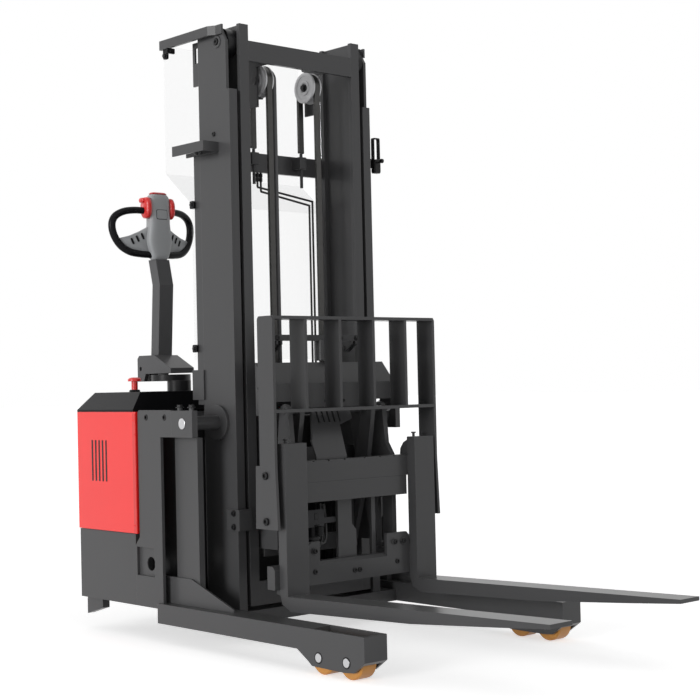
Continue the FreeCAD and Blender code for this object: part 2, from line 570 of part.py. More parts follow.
def build_covers():
    """Side covers with louvres, rear panel and front wall."""
    covers = []
    for word, side in SIDES.items():
        low, high = sided(side, "cover_wide - cover_skin", "cover_wide")
        skin = padded(f"Cover_{word}", "side", low, "cover_skin", [
            ("skirt_rear", "cover_low"), ("cover_front", "cover_low"),
            ("cover_front", "cover_top"), ("skirt_rear", "cover_top"),
        ])
        for number in range(VENT_SLOTS):
            rear = f"vent_rear + {number} * vent_pitch"
            pocketed(skin, f"Vent_{word}_{number}", "side", [
                (rear, "vent_low"), (f"{rear} + vent_slot", "vent_low"),
                (f"{rear} + vent_slot", "vent_top"), (rear, "vent_top"),
            ])
        turn = block(f"CoverReturn_{word}", sided(side, "return_in", "cover_wide"),
                     ("cover_front - cover_skin", "cover_front"), ("cover_low", "cover_top"))
        strip = block(f"CoverRear_{word}", sided(side, "return_in", "cover_wide"),
                      ("skirt_rear", "skirt_rear + cover_skin"), ("cover_low", "cover_top"))
        covers.append(join(f"SideCover_{word}", [skin, turn, strip]))
    node("side_covers", group("SideCovers", covers))
    wide = ("-return_in", "return_in")
    high = ("skirt_top", "cover_top - wall_thick")
    node("body_walls", group("BodyWalls", [
        block("RearPanel", wide, ("skirt_rear", "skirt_rear + wall_thick"), high),
        block("FrontWall", wide, ("skirt_front - wall_thick", "skirt_front"), high),
    ]))


def build_cowl():
    """Sloped top cowl, hollow, with the hole for the steering post."""
    body = doc.addObject("PartDesign::Body", "CowlSolid")
    foot = sketch_on(body, "CowlFoot", "plan", "cowl_lip")
    draw_outline(foot, "plan", [
        ("-cowl_wide", "cowl_rear"), ("cowl_wide", "cowl_rear"), ("cowl_wide", "cowl_front"),
        ("-cowl_wide", "cowl_front"),
    ])
    head = sketch_on(body, "CowlHead", "plan", "cowl_top")
    draw_outline(head, "plan", [
        ("-cowl_top_wide", "cowl_top_rear"), ("cowl_top_wide", "cowl_top_rear"),
        ("cowl_top_wide", "cowl_top_front"), ("-cowl_top_wide", "cowl_top_front"),
    ])
    loft = body.newObject("PartDesign::AdditiveLoft", "CowlLoft")
    loft.Profile = foot
    loft.Sections = [head]
    loft.Ruled = True
    lip = sketch_on(body, "CowlLip", "plan", "cover_top")
    draw_outline(lip, "plan", [
        ("-cowl_wide", "cowl_rear"), ("cowl_wide", "cowl_rear"), ("cowl_wide", "cowl_front"),
        ("-cowl_wide", "cowl_front"),
    ])
    rim = body.newObject("PartDesign::Pad", "CowlRim")
    rim.Profile = lip
    bind(rim, "Length", "cowl_lip - cover_top")
    doc.recompute()
    hollow = block("CowlHollow", ("cowl_skin - cowl_top_wide", "cowl_top_wide - cowl_skin"),
                   ("cowl_top_rear + cowl_skin", "cowl_top_front - cowl_skin"),
                   ("cowl_low", "cowl_top - cowl_skin"))
    hole = rod("CowlHole", "high", "cowl_hole", ("cowl_top - 20", "cowl_top + 20"), "column_wide",
               "column_ahead")
    node("top_cowl", cut("TopCowl", body, [hollow, hole]))


def build_stop():
    """Emergency stop: ring on the cowl, stem and mushroom cap."""
    ring = rod("StopRing", "high", "stop_ring_rad", ("cowl_top", "cowl_top + stop_ring_tall"),
               "stop_wide", "stop_ahead")
    stem = rod("StopStem", "high", "stop_stem_rad", ("cowl_top + stop_ring_tall", "stop_cap_low"),
               "stop_wide", "stop_ahead")
    cap = turned("StopCap", [
        ("0", "0"), ("0", "stop_cap_rad"), ("(stop_cap_top - stop_cap_low) * 0.55", "stop_cap_rad"),
        ("(stop_cap_top - stop_cap_low) * 0.85", "stop_cap_rad * 0.8"),
        ("stop_cap_top - stop_cap_low", "stop_cap_rad * 0.4"), ("stop_cap_top - stop_cap_low", "0"),
    ], ("stop_wide", "stop_ahead", "stop_cap_low"), along="high")
    node("emergency_stop", join("EmergencyStop", [ring, stem, cap]))


# ---------------------------------------------------------------- outer mast
def build_outer_rail(word, side):
    """Channel rail, open inwards, its front flange cut away at the top, with its foot tie."""
    mirror = lambda wide: f"{side} * {wide}"
    rail = padded(f"OuterRail_{word}", "plan", "rail_low", "rail_top - rail_low", [
        (mirror("rail_out"), "rail_rear"), (mirror("rail_out"), "rail_front"),
        (mirror("rail_in"), "rail_front"), (mirror("rail_in"), "rail_front - flange_thick"),
        (mirror("rail_web"), "rail_front - flange_thick"), (mirror("rail_web"), "rail_rear + flange_thick"),
        (mirror("rail_in"), "rail_rear + flange_thick"), (mirror("rail_in"), "rail_rear"),
    ])
    pocketed(rail, f"RailCut_{word}", "side", [
        ("rail_front - flange_thick", "rail_cut_low"), ("rail_front + 5", "rail_cut_low"),
        ("rail_front + 5", "rail_top + 5"), ("rail_front - flange_thick - 30", "rail_top + 5"),
        ("rail_front - flange_thick - 30", "rail_top - 12"), ("rail_front - flange_thick", "rail_top - 60"),
    ])
    cheek = block(f"TieCheek_{word}", sided(side, "rail_out", "foot_tie_out"),
                  ("foot_tie_rear", "foot_tie_front"), ("foot_tie_low", "foot_tie_top"))
    face = block(f"TieFace_{word}", sided(side, "foot_tie_in", "foot_tie_out"),
                 ("rail_front", "foot_tie_front"), ("foot_tie_low", "foot_tie_top"))
    return join(f"OuterRailTied_{word}", [rail, cheek, face])


def build_outer_crossbar():
    """Rear crossbar clamped round the lift barrels, with pads on the rails."""
    bar = block("CrossBar", ("-bar_in", "bar_in"), ("cross_rear", "cross_front"),
                ("cross_low", "cross_top"))
    pads = [block(f"CrossPad_{word}", sided(side, "rail_in + 3", "bar_in"), ("cross_front", "rail_rear"),
                  ("cross_low", "cross_top")) for word, side in SIDES.items()]
    solid = join("CrossBarPads", [bar] + pads)
    bores = [rod(f"CrossBore_{word}", "high", "barrel_rad + bore_gap", ("cross_low", "cross_top"),
                 f"{side} * barrel_wide", "barrel_ahead") for word, side in SIDES.items()]
    anchors = [block(f"AnchorBlock_{word}", (f"{side} * wheel_wide - anchor_block",
                                             f"{side} * wheel_wide + anchor_block"),
                     ("cross_front", "wheel_ahead - groove_rad + 6"), ("cross_low + 20", "cross_top - 6"))
               for word, side in SIDES.items()]
    bored = cut("CrossBarBored", solid, bores)
    rods = [rod(f"AnchorRod_{word}", "high", "anchor_rad", ("anchor_low", "chain_back_low - 2"),
                f"{side} * wheel_wide", "wheel_ahead - groove_rad - chain_tall / 2") for word,
                side in SIDES.items()]
    node("outer_crossbar", join("OuterCrossbar", [bored] + anchors + rods))


def build_outer_rollers():
    """Guide rollers on stubs at the top of the outer rails."""
    rollers = []
    for word, side in SIDES.items():
        disc = rod(f"GuideDisc_{word}", "wide", "guide_rad",
                   sided(side, "guide_in", "guide_in + guide_wide"),
                   "guide_ahead", "guide_high")
        stub = rod(f"GuideStub_{word}", "wide", "guide_hub_rad",
                   sided(side, "guide_in + guide_wide", "rail_web"),
                   "guide_ahead", "guide_high")
        rollers.append(join(f"OuterGuide_{word}", [disc, stub]))
    node("outer_guide_rollers", group("OuterGuides", rollers))


def build_barrels():
    """Two lift cylinder barrels, bored for their rods."""
    barrels = []
    for word, side in SIDES.items():
        place = (f"{side} * barrel_wide", "barrel_ahead")
        tube = rod(f"Tube_{word}", "high", "barrel_rad", ("tray_top", "barrel_top"), *place)
        bore = rod(f"TubeBore_{word}", "high", "barrel_bore", ("bore_floor", "barrel_top"), *place)
        barrels.append(cut(f"Barrel_{word}", tube, [bore]))
    node("lift_barrels", group("LiftBarrels", barrels))


def build_mast_brackets():
    """Joggled top bars and hollow mid brackets on the outer rails."""
    brackets = []
    for word, side in SIDES.items():
        seen = [
            ("top_bar_in", "top_bar_rear"), ("top_bar_in", "top_bar_joggle"), ("rail_out", "top_bar_seat"),
            ("rail_out", "top_bar_front"), ("rail_out + top_bar_thick - 4", "top_bar_front"),
            ("rail_out + top_bar_thick - 4", "top_bar_seat"),
            ("top_bar_in + top_bar_thick", "top_bar_joggle"),
            ("top_bar_in + top_bar_thick", "top_bar_rear"),
        ]
        outline = [(f"{side} * ({wide})", ahead) for wide, ahead in seen]
        bar = padded(f"TopBar_{word}", "plan", "top_bar_low", "top_bar_top - top_bar_low", outline)
        knob = rod(f"Knob_{word}", "wide", "knob_rad", sided(side, "screen_wide", "top_bar_in"),
                   "knob_ahead", "knob_high")
        brackets.append(join(f"TopBracket_{word}", [bar, knob]))
        shelf = block(f"MidShelf_{word}", sided(side, "rail_out", "mid_bar_out"),
                      ("mid_bar_rear", "mid_bar_front"), ("mid_bar_top - mid_bar_skin", "mid_bar_top"))
        lip = block(f"MidLip_{word}", sided(side, "mid_bar_out - mid_bar_skin", "mid_bar_out"),
                    ("mid_bar_rear", "mid_bar_front"), ("mid_bar_low", "mid_bar_top"))
        seat = block(f"MidSeat_{word}", sided(side, "rail_out", "rail_out + mid_bar_skin"),
                     ("mid_bar_rear", "mid_bar_front"), ("mid_bar_low", "mid_bar_top"))
        nose = block(f"MidNose_{word}", sided(side, "rail_out", "mid_bar_out"),
                     ("mid_bar_front", "mid_bar_front + mid_bar_skin"), ("mid_bar_low", "mid_bar_top"))
        brackets.append(join(f"MidBracket_{word}", [shelf, lip, seat, nose]))
    node("mast_brackets", group("MastBrackets", brackets))
    node("height_switch", block("HeightSwitch", ("switch_in", "switch_out"),
                                ("switch_rear", "switch_front"),
                                ("switch_low", "switch_top")))


def build_screen():
    """Clear screen, bent back at the top, with its side bars and lugs."""
    glass = padded("Screen", "side", "-screen_wide", "2 * screen_wide", [
        ("screen_front", "screen_low"), ("screen_front", "screen_bend_low"),
        ("screen_rear + screen_thick", "screen_bend_top"), ("screen_rear + screen_thick", "screen_top"),
        ("screen_rear", "screen_top"), ("screen_rear", "screen_bend_top"),
        ("screen_front - screen_thick", "screen_bend_low"), ("screen_front - screen_thick", "screen_low"),
    ])
    node("clear_screen", glass)
    bars = []
    for word, side in SIDES.items():
        bar = block(f"ScreenBar_{word}", sided(side, "bar_in", "rail_out"), ("bar_rear", "rail_rear"),
                    ("bar_low", "barrel_top"))
        lug = block(f"ScreenLug_{word}", sided(side, "lug_in", "lug_out"),
                    ("lug_rear", "lug_rear + lug_thick"),
                    ("lug_low", "lug_top"))
        wing = block(f"LugWing_{word}", sided(side, "rail_out", "lug_out"), ("lug_rear", "lug_front"),
                     ("lug_low", "lug_top"))
        clips = [block(f"Clip_{word}_{place}", sided(side, "clip_in", "rail_out"),
                       ("screen_front", "bar_rear"),
                       (f"clip_{place}", f"clip_{place} + clip_tall")) for place in ("low", "top")]
        bars.append(join(f"ScreenSide_{word}", [bar, lug, wing] + clips))
    node("screen_bars", group("ScreenBars", bars))


def build_pipes():
    """Two parallel pipes from the crossbar gland, across and down the mast."""
    pipes = []
    for number in range(2):
        shift = number * SIZES["pipe_pitch"]
        along = SIZES["origin_ahead"] - SIZES["pipe_ahead"]
        start = SIZES["pipe_gland_wide"] + shift
        end = SIZES["pipe_far_wide"] - shift
        drop = SIZES["pipe_drop"] - shift
        slope = SIZES["pipe_slope_high"] - shift
        corners = [(start, SIZES["cross_low"]), (start, drop), (end, slope), (end, SIZES["tray_top"])]
        points = [FreeCAD.Vector(wide, along, high) for wide, high in corners]
        route = Part.Wire([Part.makeLine(points[i], points[i + 1]) for i in range(3)])
        ring = Part.Wire([Part.Edge(Part.Circle(points[0], FreeCAD.Vector(0, 0, 1), SIZES["pipe_rad"]))])
        pipe = doc.addObject("Part::Feature", f"Pipe_{number}")
        pipe.Shape = route.makePipeShell([ring], True, False, 2)
        pipes.append(pipe)
    node("hydraulic_pipes", group("HydraulicPipes", pipes))


# ---------------------------------------------------------------- inner mast
def build_rod_bracket(word, side):
    """Slotted bracket that hangs the inner rail on its lift rod."""
    ahead = ("eye_rear", "rail_rear - eye_gap")
    back = block(f"EyeBack_{word}", sided(side, "eye_in", "eye_out"),
                 ("rail_rear - eye_gap - eye_plate", "rail_rear - eye_gap"), ("eye_low", "eye_top"))
    pad = block(f"EyePad_{word}", sided(side, "eye_in", "inner_out"), ("rail_rear - eye_gap", "rail_rear"),
                ("eye_low", "eye_top"))
    cheek = block(f"EyeCheek_{word}", sided(side, "eye_out - eye_plate", "eye_out"), ahead,
                  ("eye_low", "eye_top"))
    roof = block(f"EyeRoof_{word}", sided(side, "eye_in", "eye_out"), ahead,
                 ("rod_top", "rod_top + 2 * eye_plate"))
    slot = block(f"EyeSlot_{word}", sided(side, "eye_out - 2 * eye_plate", "eye_out + 5"),
                 ("eye_rear + 14", "rail_rear - eye_gap - 20"), ("rod_top + 4 * eye_plate", "eye_top - 20"))
    return cut(f"RodBracket_{word}", join(f"RodBracketBody_{word}", [back, pad, cheek, roof]), [slot])


def build_inner_rail(word, side):
    """I-section rail that slides in the outer channel, with its foot roller and rod bracket."""
    mirror = lambda wide: f"{side} * {wide}"
    rail = padded(f"InnerRail_{word}", "plan", "inner_low", "inner_top - inner_low", [
        (mirror("inner_in"), "rail_rear"), (mirror("inner_out"), "rail_rear"),
        (mirror("inner_out"), "rail_rear + flange_thick"),
        (mirror("inner_web_out"), "rail_rear + flange_thick"),
        (mirror("inner_web_out"), "rail_front - flange_thick"),
        (mirror("inner_out"), "rail_front - flange_thick"),
        (mirror("inner_out"), "rail_front"), (mirror("inner_in"), "rail_front"),
        (mirror("inner_in"), "rail_front - flange_thick"),
        (mirror("inner_web_in"), "rail_front - flange_thick"),
        (mirror("inner_web_in"), "rail_rear + flange_thick"),
        (mirror("inner_in"), "rail_rear + flange_thick"),
    ])
    disc = rod(f"LowDisc_{word}", "wide", "guide_rad", sided(side, "inner_out + 3", "rail_web - 3"),
               "guide_low_ahead", "guide_low_high")
    stub = rod(f"LowStub_{word}", "wide", "guide_hub_rad", sided(side, "inner_web_out", "inner_out + 3"),
               "guide_low_ahead", "guide_low_high")
    return join(f"InnerRailWhole_{word}", [rail, disc, stub, build_rod_bracket(word, side)])


def build_inner_cross():
    """Head bar with a hanger plate and a pin for each pulley, and the sill at the foot."""
    ahead = ("rail_front - flange_thick", "rail_front")
    head = block("HeadBar", ("-inner_in", "inner_in"), ahead, ("head_low", "head_top"))
    hangers = []
    for word, side in SIDES.items():
        face = "wheel_wide + hanger_half"
        low, _ = sided(side, face, f"{face} + hanger_thick")
        hangers.append(padded(f"Hanger_{word}", "side", low, "hanger_thick", [
            ("hanger_rear", "hanger_low"), ("hanger_front", "hanger_low"), ("hanger_front", "head_low + 4"),
            ("rail_front - 2", "head_low + 4"), ("rail_front - 2", "head_top - 6"),
            ("hanger_front", "head_top - 6"), ("hanger_rear", "head_low + 30"),
        ]))
        hangers.append(rod(f"HangerPin_{word}", "wide", "wheel_hub_rad - 2",
                           sided(side, "wheel_wide - wheel_half - 4", f"{face} + hanger_thick + 4"),
                           "wheel_ahead", "wheel_high"))
    sill = block("InnerSill", ("-inner_in", "inner_in"), ahead, ("sill_low", "sill_top"))
    node("inner_crossbars", group("InnerCrossbars", [join("InnerHead", [head] + hangers), sill]))


def build_pulleys():
    """Two grooved chain pulleys at the head."""
    wheels = []
    for word, side in SIDES.items():
        wheels.append(turned(f"Pulley_{word}", [
            ("-wheel_half", "wheel_hub_rad - 2 + bore_gap"), ("wheel_half", "wheel_hub_rad - 2 + bore_gap"),
            ("wheel_half", "wheel_rad"), ("groove_half", "wheel_rad"), ("groove_half", "groove_rad - 0.3"),
            ("-groove_half", "groove_rad - 0.3"), ("-groove_half", "wheel_rad"),
            ("-wheel_half", "wheel_rad"),
        ], (f"{side} * wheel_wide", "wheel_ahead", "wheel_high")))
    node("chain_pulleys", group("ChainPulleys", wheels))


def build_chain(word, side):
    """Lift chain: rear run, half turn over the pulley and front run with its end pin."""
    wide = (f"{side} * wheel_wide - chain_half", f"{side} * wheel_wide + chain_half")
    outer = rod(f"ChainOuter_{word}", "wide", "groove_rad + chain_tall", wide, "wheel_ahead", "wheel_high")
    inner = rod(f"ChainInner_{word}", "wide", "groove_rad", wide, "wheel_ahead", "wheel_high")
    below = block(f"ChainBelow_{word}", wide, ("wheel_ahead - 2 * wheel_rad",
                                               "wheel_ahead + 2 * wheel_rad"),
                  ("wheel_high - 2 * wheel_rad", "wheel_high"))
    turn = cut(f"ChainTurn_{word}", outer, [inner, below])
    back = block(f"ChainBack_{word}", wide, ("wheel_ahead - groove_rad - chain_tall",
                                             "wheel_ahead - groove_rad"),
                 ("chain_back_low", "wheel_high"))
    front = block(f"ChainFront_{word}", wide, ("wheel_ahead + groove_rad",
                                               "wheel_ahead + groove_rad + chain_tall"),
                  ("chain_front_low", "wheel_high"))
    pin = rod(f"ChainPin_{word}", "wide", "chain_pin_rad",
              (f"{side} * wheel_wide - yoke_half", f"{side} * wheel_wide + yoke_half"),
              "wheel_ahead + groove_rad + chain_tall / 2", "chain_pin_high")
    return join(f"Chain_{word}", [turn, back, front, pin])


def build_lift_rods():
    """Two lift cylinder rods, one node."""
    node("lift_rods", group("LiftRods", [
        rod(f"LiftRod_{word}", "high", "rod_rad", ("rod_low", "rod_top"), f"{side} * barrel_wide",
            "barrel_ahead")
        for word, side in SIDES.items()]))


# ---------------------------------------------------------------- carriage
def build_carriage():
    """Lift carriage: side plates, rollers, cross plates, chain yokes and guide posts."""
    pieces = []
    for word, side in SIDES.items():
        low, _ = sided(side, "truck_in", "truck_in + truck_thick")
        plate = padded(f"Truck_{word}", "side", low, "truck_thick", [
            ("truck_rear", "truck_low"), ("truck_front", "truck_low"), ("truck_front", "reach_high - 40"),
            ("reach_rear + 26", "reach_high - 20"), ("reach_rear + 26", "reach_high + 26"),
            ("head_bar_front", "truck_step_high + 20"), ("head_bar_front", "head_bar_top"),
            ("truck_step_ahead", "head_bar_top"), ("truck_step_ahead", "truck_step_high"),
            ("truck_rear", "truck_step_high"),
        ])
        pieces.append(plate)
        for place in ("low", "top"):
            spot = ("guide_ahead", f"truck_wheel_{place}")
            pieces.append(rod(f"TruckWheel_{word}_{place}", "wide", "truck_wheel_rad",
                              sided(side, "truck_wheel_out - 18", "truck_wheel_out"), *spot))
            pieces.append(rod(f"TruckStub_{word}_{place}", "wide", "guide_hub_rad",
                              sided(side, "truck_in + truck_thick", "truck_wheel_out - 18"), *spot))
        pieces.append(rod(f"ReachPin_{word}", "wide", "reach_pin_rad",
                          sided(side, "arm_outer_in - 4", "truck_in"),
                          "reach_rear", "reach_high"))
        post = block(f"GuidePost_{word}", sided(side, "guide_post_in", "guide_post_out"),
                     ("guide_post_rear", "guide_post_front"), ("guide_post_low", "guide_post_top"))
        groove = block(f"GuideGroove_{word}", sided(side, "guide_post_in + 8", "guide_post_out + 5"),
                       ("reach_rear - guide_slot", "reach_rear + guide_slot"),
                       ("guide_post_low + 12", "guide_post_top - 12"))
        pieces.append(cut(f"GuideTrack_{word}", post, [groove]))
        run = "wheel_ahead + groove_rad + chain_tall / 2"
        chain = f"{side} * wheel_wide"
        for number, (first, last) in enumerate((("-yoke_half - yoke_thick + 4", "-yoke_half + 4"),
                                                ("yoke_half - 4", "yoke_half + yoke_thick - 4"))):
            cheek = block(f"Yoke_{word}_{number}", (f"{chain} + ({first})", f"{chain} + ({last})"),
                          ("yoke_rear", "cross_plate_rear"), ("yoke_low", "yoke_top"))
            notch = block(f"YokeNotch_{word}_{number}", (f"{chain} - 60", f"{chain} + 60"),
                          (f"{run} - chain_pin_rad - yoke_gap", f"{run} + chain_pin_rad + yoke_gap"),
                          ("yoke_low - 5", "chain_pin_high + chain_pin_rad + yoke_gap"))
            pieces.append(cut(f"YokeCheek_{word}_{number}", cheek, [notch]))
    for name, low, high in (("Low", "low_plate_low", "low_plate_top"),
                            ("Mid", "mid_plate_low", "mid_plate_top"),
                            ("Yoke", "yoke_low", "yoke_top")):
        pieces.append(block(f"CrossPlate{name}", ("-truck_in", "truck_in"),
                            ("cross_plate_rear", "cross_plate_front"),
                            (low, high)))
    pieces.append(block("CarriageHeadBar", ("-truck_in", "truck_in"), ("head_bar_rear", "head_bar_front"),
                        ("head_bar_low", "head_bar_top")))
    pieces.append(rod("Can", "high", "can_rad", ("can_low", "head_bar_low + 4"), "can_wide", "can_ahead"))
    for word, side in SIDES.items():
        for number, near in enumerate(("strut_wide", "strut_wide + strut_plate + strut_gap")):
            low, _ = sided(side, near, f"{near} + strut_plate")
            pieces.append(padded(f"Ear_{word}_{number}", "side", low, "strut_plate", [
                ("head_bar_front", "head_bar_low + 2"), ("strut_rear", "head_bar_low + 2"),
                ("strut_rear", "strut_low"), ("strut_rear + 14", "strut_low"),
                ("head_bar_front", "head_bar_low - 12"),
            ]))
            pieces.append(block(f"EarSeat_{word}_{number}", sided(side, near, f"{near} + strut_plate"),
                                ("strut_rear", "head_bar_front"), ("head_bar_low - 8", "head_bar_low + 4")))
        pieces.append(rod(f"EarPin_{word}", "wide", "strut_rad",
                          sided(side, "strut_wide - 4", "strut_wide + 2 * strut_plate + strut_gap + 4"),
                          "strut_rear + 10", "strut_high"))
    node("carriage_frame", join("CarriageFrame", pieces))


def build_carriage_hood():
    """Folded cover over the reach pivots, slotted for the outer arms."""
    hood = padded("CarriageHood", "side", "-hood_wide", "2 * hood_wide", [
        ("hood_rear", "hood_crest"), ("hood_front", "hood_lip"), ("hood_front", "hood_low"),
        ("hood_chin", "hood_chin_low"), ("hood_chin - hood_skin", "hood_chin_low + hood_skin"),
        ("hood_front - hood_skin", "hood_low + 2"), ("hood_front - hood_skin", "hood_lip - 3"),
        ("hood_rear", "hood_crest - hood_skin - 3"),
    ])
    ends = [padded(f"HoodEnd_{word}", "side", sided(side, "hood_wide", "hood_wide + hood_skin")[0],
                   "hood_skin", [
        ("hood_rear", "hood_crest"), ("hood_front", "hood_lip"), ("hood_front", "hood_low"),
        ("hood_chin", "hood_chin_low"), ("hood_rear", "hood_chin_low"),
    ]) for word, side in SIDES.items()]
    slots = [block(f"HoodSlot_{word}", sided(side, "hood_slot_in", "hood_slot_out"),
                   ("truck_front", "hood_slot_front"), ("hood_chin_low - 10", "hood_slot_top"))
             for word, side in SIDES.items()]
    stays = [block(f"HoodStay_{word}", sided(side, "truck_in + truck_thick", "hood_wide"),
                   ("hood_rear", "hood_rear + 8"), ("hood_crest - 60", "hood_crest - hood_skin - 4"))
             for word, side in SIDES.items()]
    slotted = cut("HoodSlotted", hood, slots)
    node("carriage_hood", join("CarriageCover", [slotted] + ends + stays))


# ---------------------------------------------------------------- reach arms
def build_arms(label, name, inner, lean, ahead):
    """A pair of reach arms hanging from their top eyes, tapered to the toe pins."""
    length = "sqrt(reach_spread * reach_spread + reach_drop * reach_drop)"
    arms = []
    for word, side in SIDES.items():
        body = doc.addObject("PartDesign::Body", f"{name}_{word}")
        sketch = sketch_on(body, f"{name}Sketch_{word}", "own_side", "0")
        draw_outline(sketch, "own_side", [
            ("-arm_eye * 0.7", "arm_eye * 0.7"), ("arm_eye * 0.7", "arm_eye * 0.7"), ("arm_eye", "0"),
            ("arm_half", f"-{length} / 2"), ("arm_toe", f"-{length}"),
            ("arm_toe * 0.6", f"-{length} - arm_toe * 0.8"),
            ("-arm_toe * 0.6", f"-{length} - arm_toe * 0.8"), ("-arm_toe", f"-{length}"),
            ("-arm_half", f"-{length} / 2"), ("-arm_eye", "0"),
        ])
        pad = body.newObject("PartDesign::Pad", f"{name}Pad_{word}")
        pad.Profile = sketch
        bind(pad, "Length", "arm_thick")
        doc.recompute()
        pocketed(body, f"{name}Eye_{word}", "own_side", circles=[("0", "0", "reach_pin_rad + bore_gap")])
        if name == "OuterArm":
            pocketed(body, f"{name}Mid_{word}", "own_side",
                     circles=[("0", f"-{length} / 2", "reach_pin_rad + bore_gap")])
        body.Placement.Rotation = FreeCAD.Rotation(FreeCAD.Vector(lean, 0, 0), 10)
        bind(body, "Placement.Rotation.Angle", "atan(reach_spread / reach_drop)")
        low, _ = sided(side, inner, f"{inner} + arm_thick")
        bind(body, "Placement.Base.x", low)
        bind(body, "Placement.Base.y", ALONG.format(ahead))
        bind(body, "Placement.Base.z", "reach_high")
        arms.append(body)
        foot = "reach_front" if name == "OuterArm" else "reach_rear"
        reach = ("arm_outer_in + arm_thick", "rib_in + rib_thick - 2") if name == "OuterArm" else (
            "guide_post_in + 10", "arm_inner_in")
        arms.append(rod(f"{name}Toe_{word}", "wide", "toe_pin_rad", sided(side, *reach), foot,
                        "toe_high"))
        if name == "InnerArm":
            arms.append(rod(f"CrossPin_{word}", "wide", "reach_pin_rad",
                            sided(side, "arm_inner_in + arm_thick", "arm_outer_in + arm_thick"),
                            "reach_rear + reach_spread / 2", "reach_high - reach_drop / 2"))
    node(label, join(f"{name}Pair", arms))


# ---------------------------------------------------------------- fork frame
def build_fork_frame():
    """Fork bars, apron, lug plates, and slotted ribs that end in the pivot eyes."""
    wide = ("-frame_wide", "frame_wide")
    ahead = ("bar_back", "bar_front")
    notches = []
    for word, side in SIDES.items():
        for place in ("near", "mid", "far"):
            notches.append(rod(f"TopNotch_{word}_{place}", "ahead", "notch_rad",
                               ("bar_back - 5", "bar_front + 5"), f"{side} * notch_{place}", "upper_top"))
    upper = cut("UpperBarNotched", block("UpperBar", wide, ahead, ("upper_low", "upper_top")), notches)
    apron = block("Apron", ("-rest_mid", "rest_mid + 15"), ("bar_back", "bar_front - apron_set"),
                  ("apron_low", "upper_low"))
    lower = padded("LowerBar", "side", "-frame_wide", "2 * frame_wide", [
        ("bar_back", "lower_low"), ("bar_front", "lower_low"), ("bar_front", "lower_top - lower_bevel"),
        ("bar_front - lower_bevel", "lower_top"), ("bar_back", "lower_top"),
    ])
    pieces = [upper, apron, lower]
    for word, side in SIDES.items():
        low, _ = sided(side, "rib_in", "rib_in + rib_thick")
        rib = padded(f"Rib_{word}", "side", low, "rib_thick", [
            ("rib_rear", "rib_low"), ("bar_back", "rib_low"), ("bar_back", "upper_top"),
            ("rib_neck", "upper_top + 45"), ("reach_front + rib_eye", "reach_high"),
            ("reach_front + rib_eye * 0.7", "reach_high + rib_eye * 0.7"),
            ("reach_front", "reach_high + rib_eye"),
            ("reach_front - rib_eye * 0.7", "reach_high + rib_eye * 0.7"),
            ("reach_front - rib_eye", "reach_high"),
            ("rib_rear + 6", "upper_top + 45"), ("rib_rear", "upper_top"),
        ])
        pocketed(rib, f"ToeSlot_{word}", "side", [
            ("reach_front - toe_slot", "toe_slot_low"), ("reach_front + toe_slot", "toe_slot_low"),
            ("reach_front + toe_slot", "toe_slot_top"), ("reach_front - toe_slot", "toe_slot_top"),
        ])
        pin = rod(f"FrontPin_{word}", "wide", "reach_pin_rad",
                  sided(side, "arm_inner_in - 4", "rib_in + rib_thick + 3"),
                  "reach_front", "reach_high")
        pieces += [rib, pin]
    plates = {"near": ("lug_near_out", "lug_near_in"), "far": ("lug_far_out", "lug_far_in")}
    for place, (outer, inner) in plates.items():
        slant = "lug_bevel" if place == "near" else "-lug_bevel"
        pieces.append(padded(f"LugPlate_{place}", "front", "bar_front - lug_plate", "lug_plate", [
            (outer, "lug_plate_low"), (inner, "lug_plate_low"), (inner, "lug_plate_top"),
            (f"{outer} + ({slant})", "lug_plate_top"), (outer, "lug_plate_top - lug_bevel"),
        ]))
    for pin in ("lug_near_pin", "lug_far_pin", "lug_far_pin_out"):
        pieces.append(rod(f"Head_{pin}", "ahead", "lug_pin_rad",
                          ("bar_front - 2", "bar_front + lug_pin_proud"),
                          pin, "lug_pin_high"))
    node("fork_frame", join("ForkFrame", pieces))


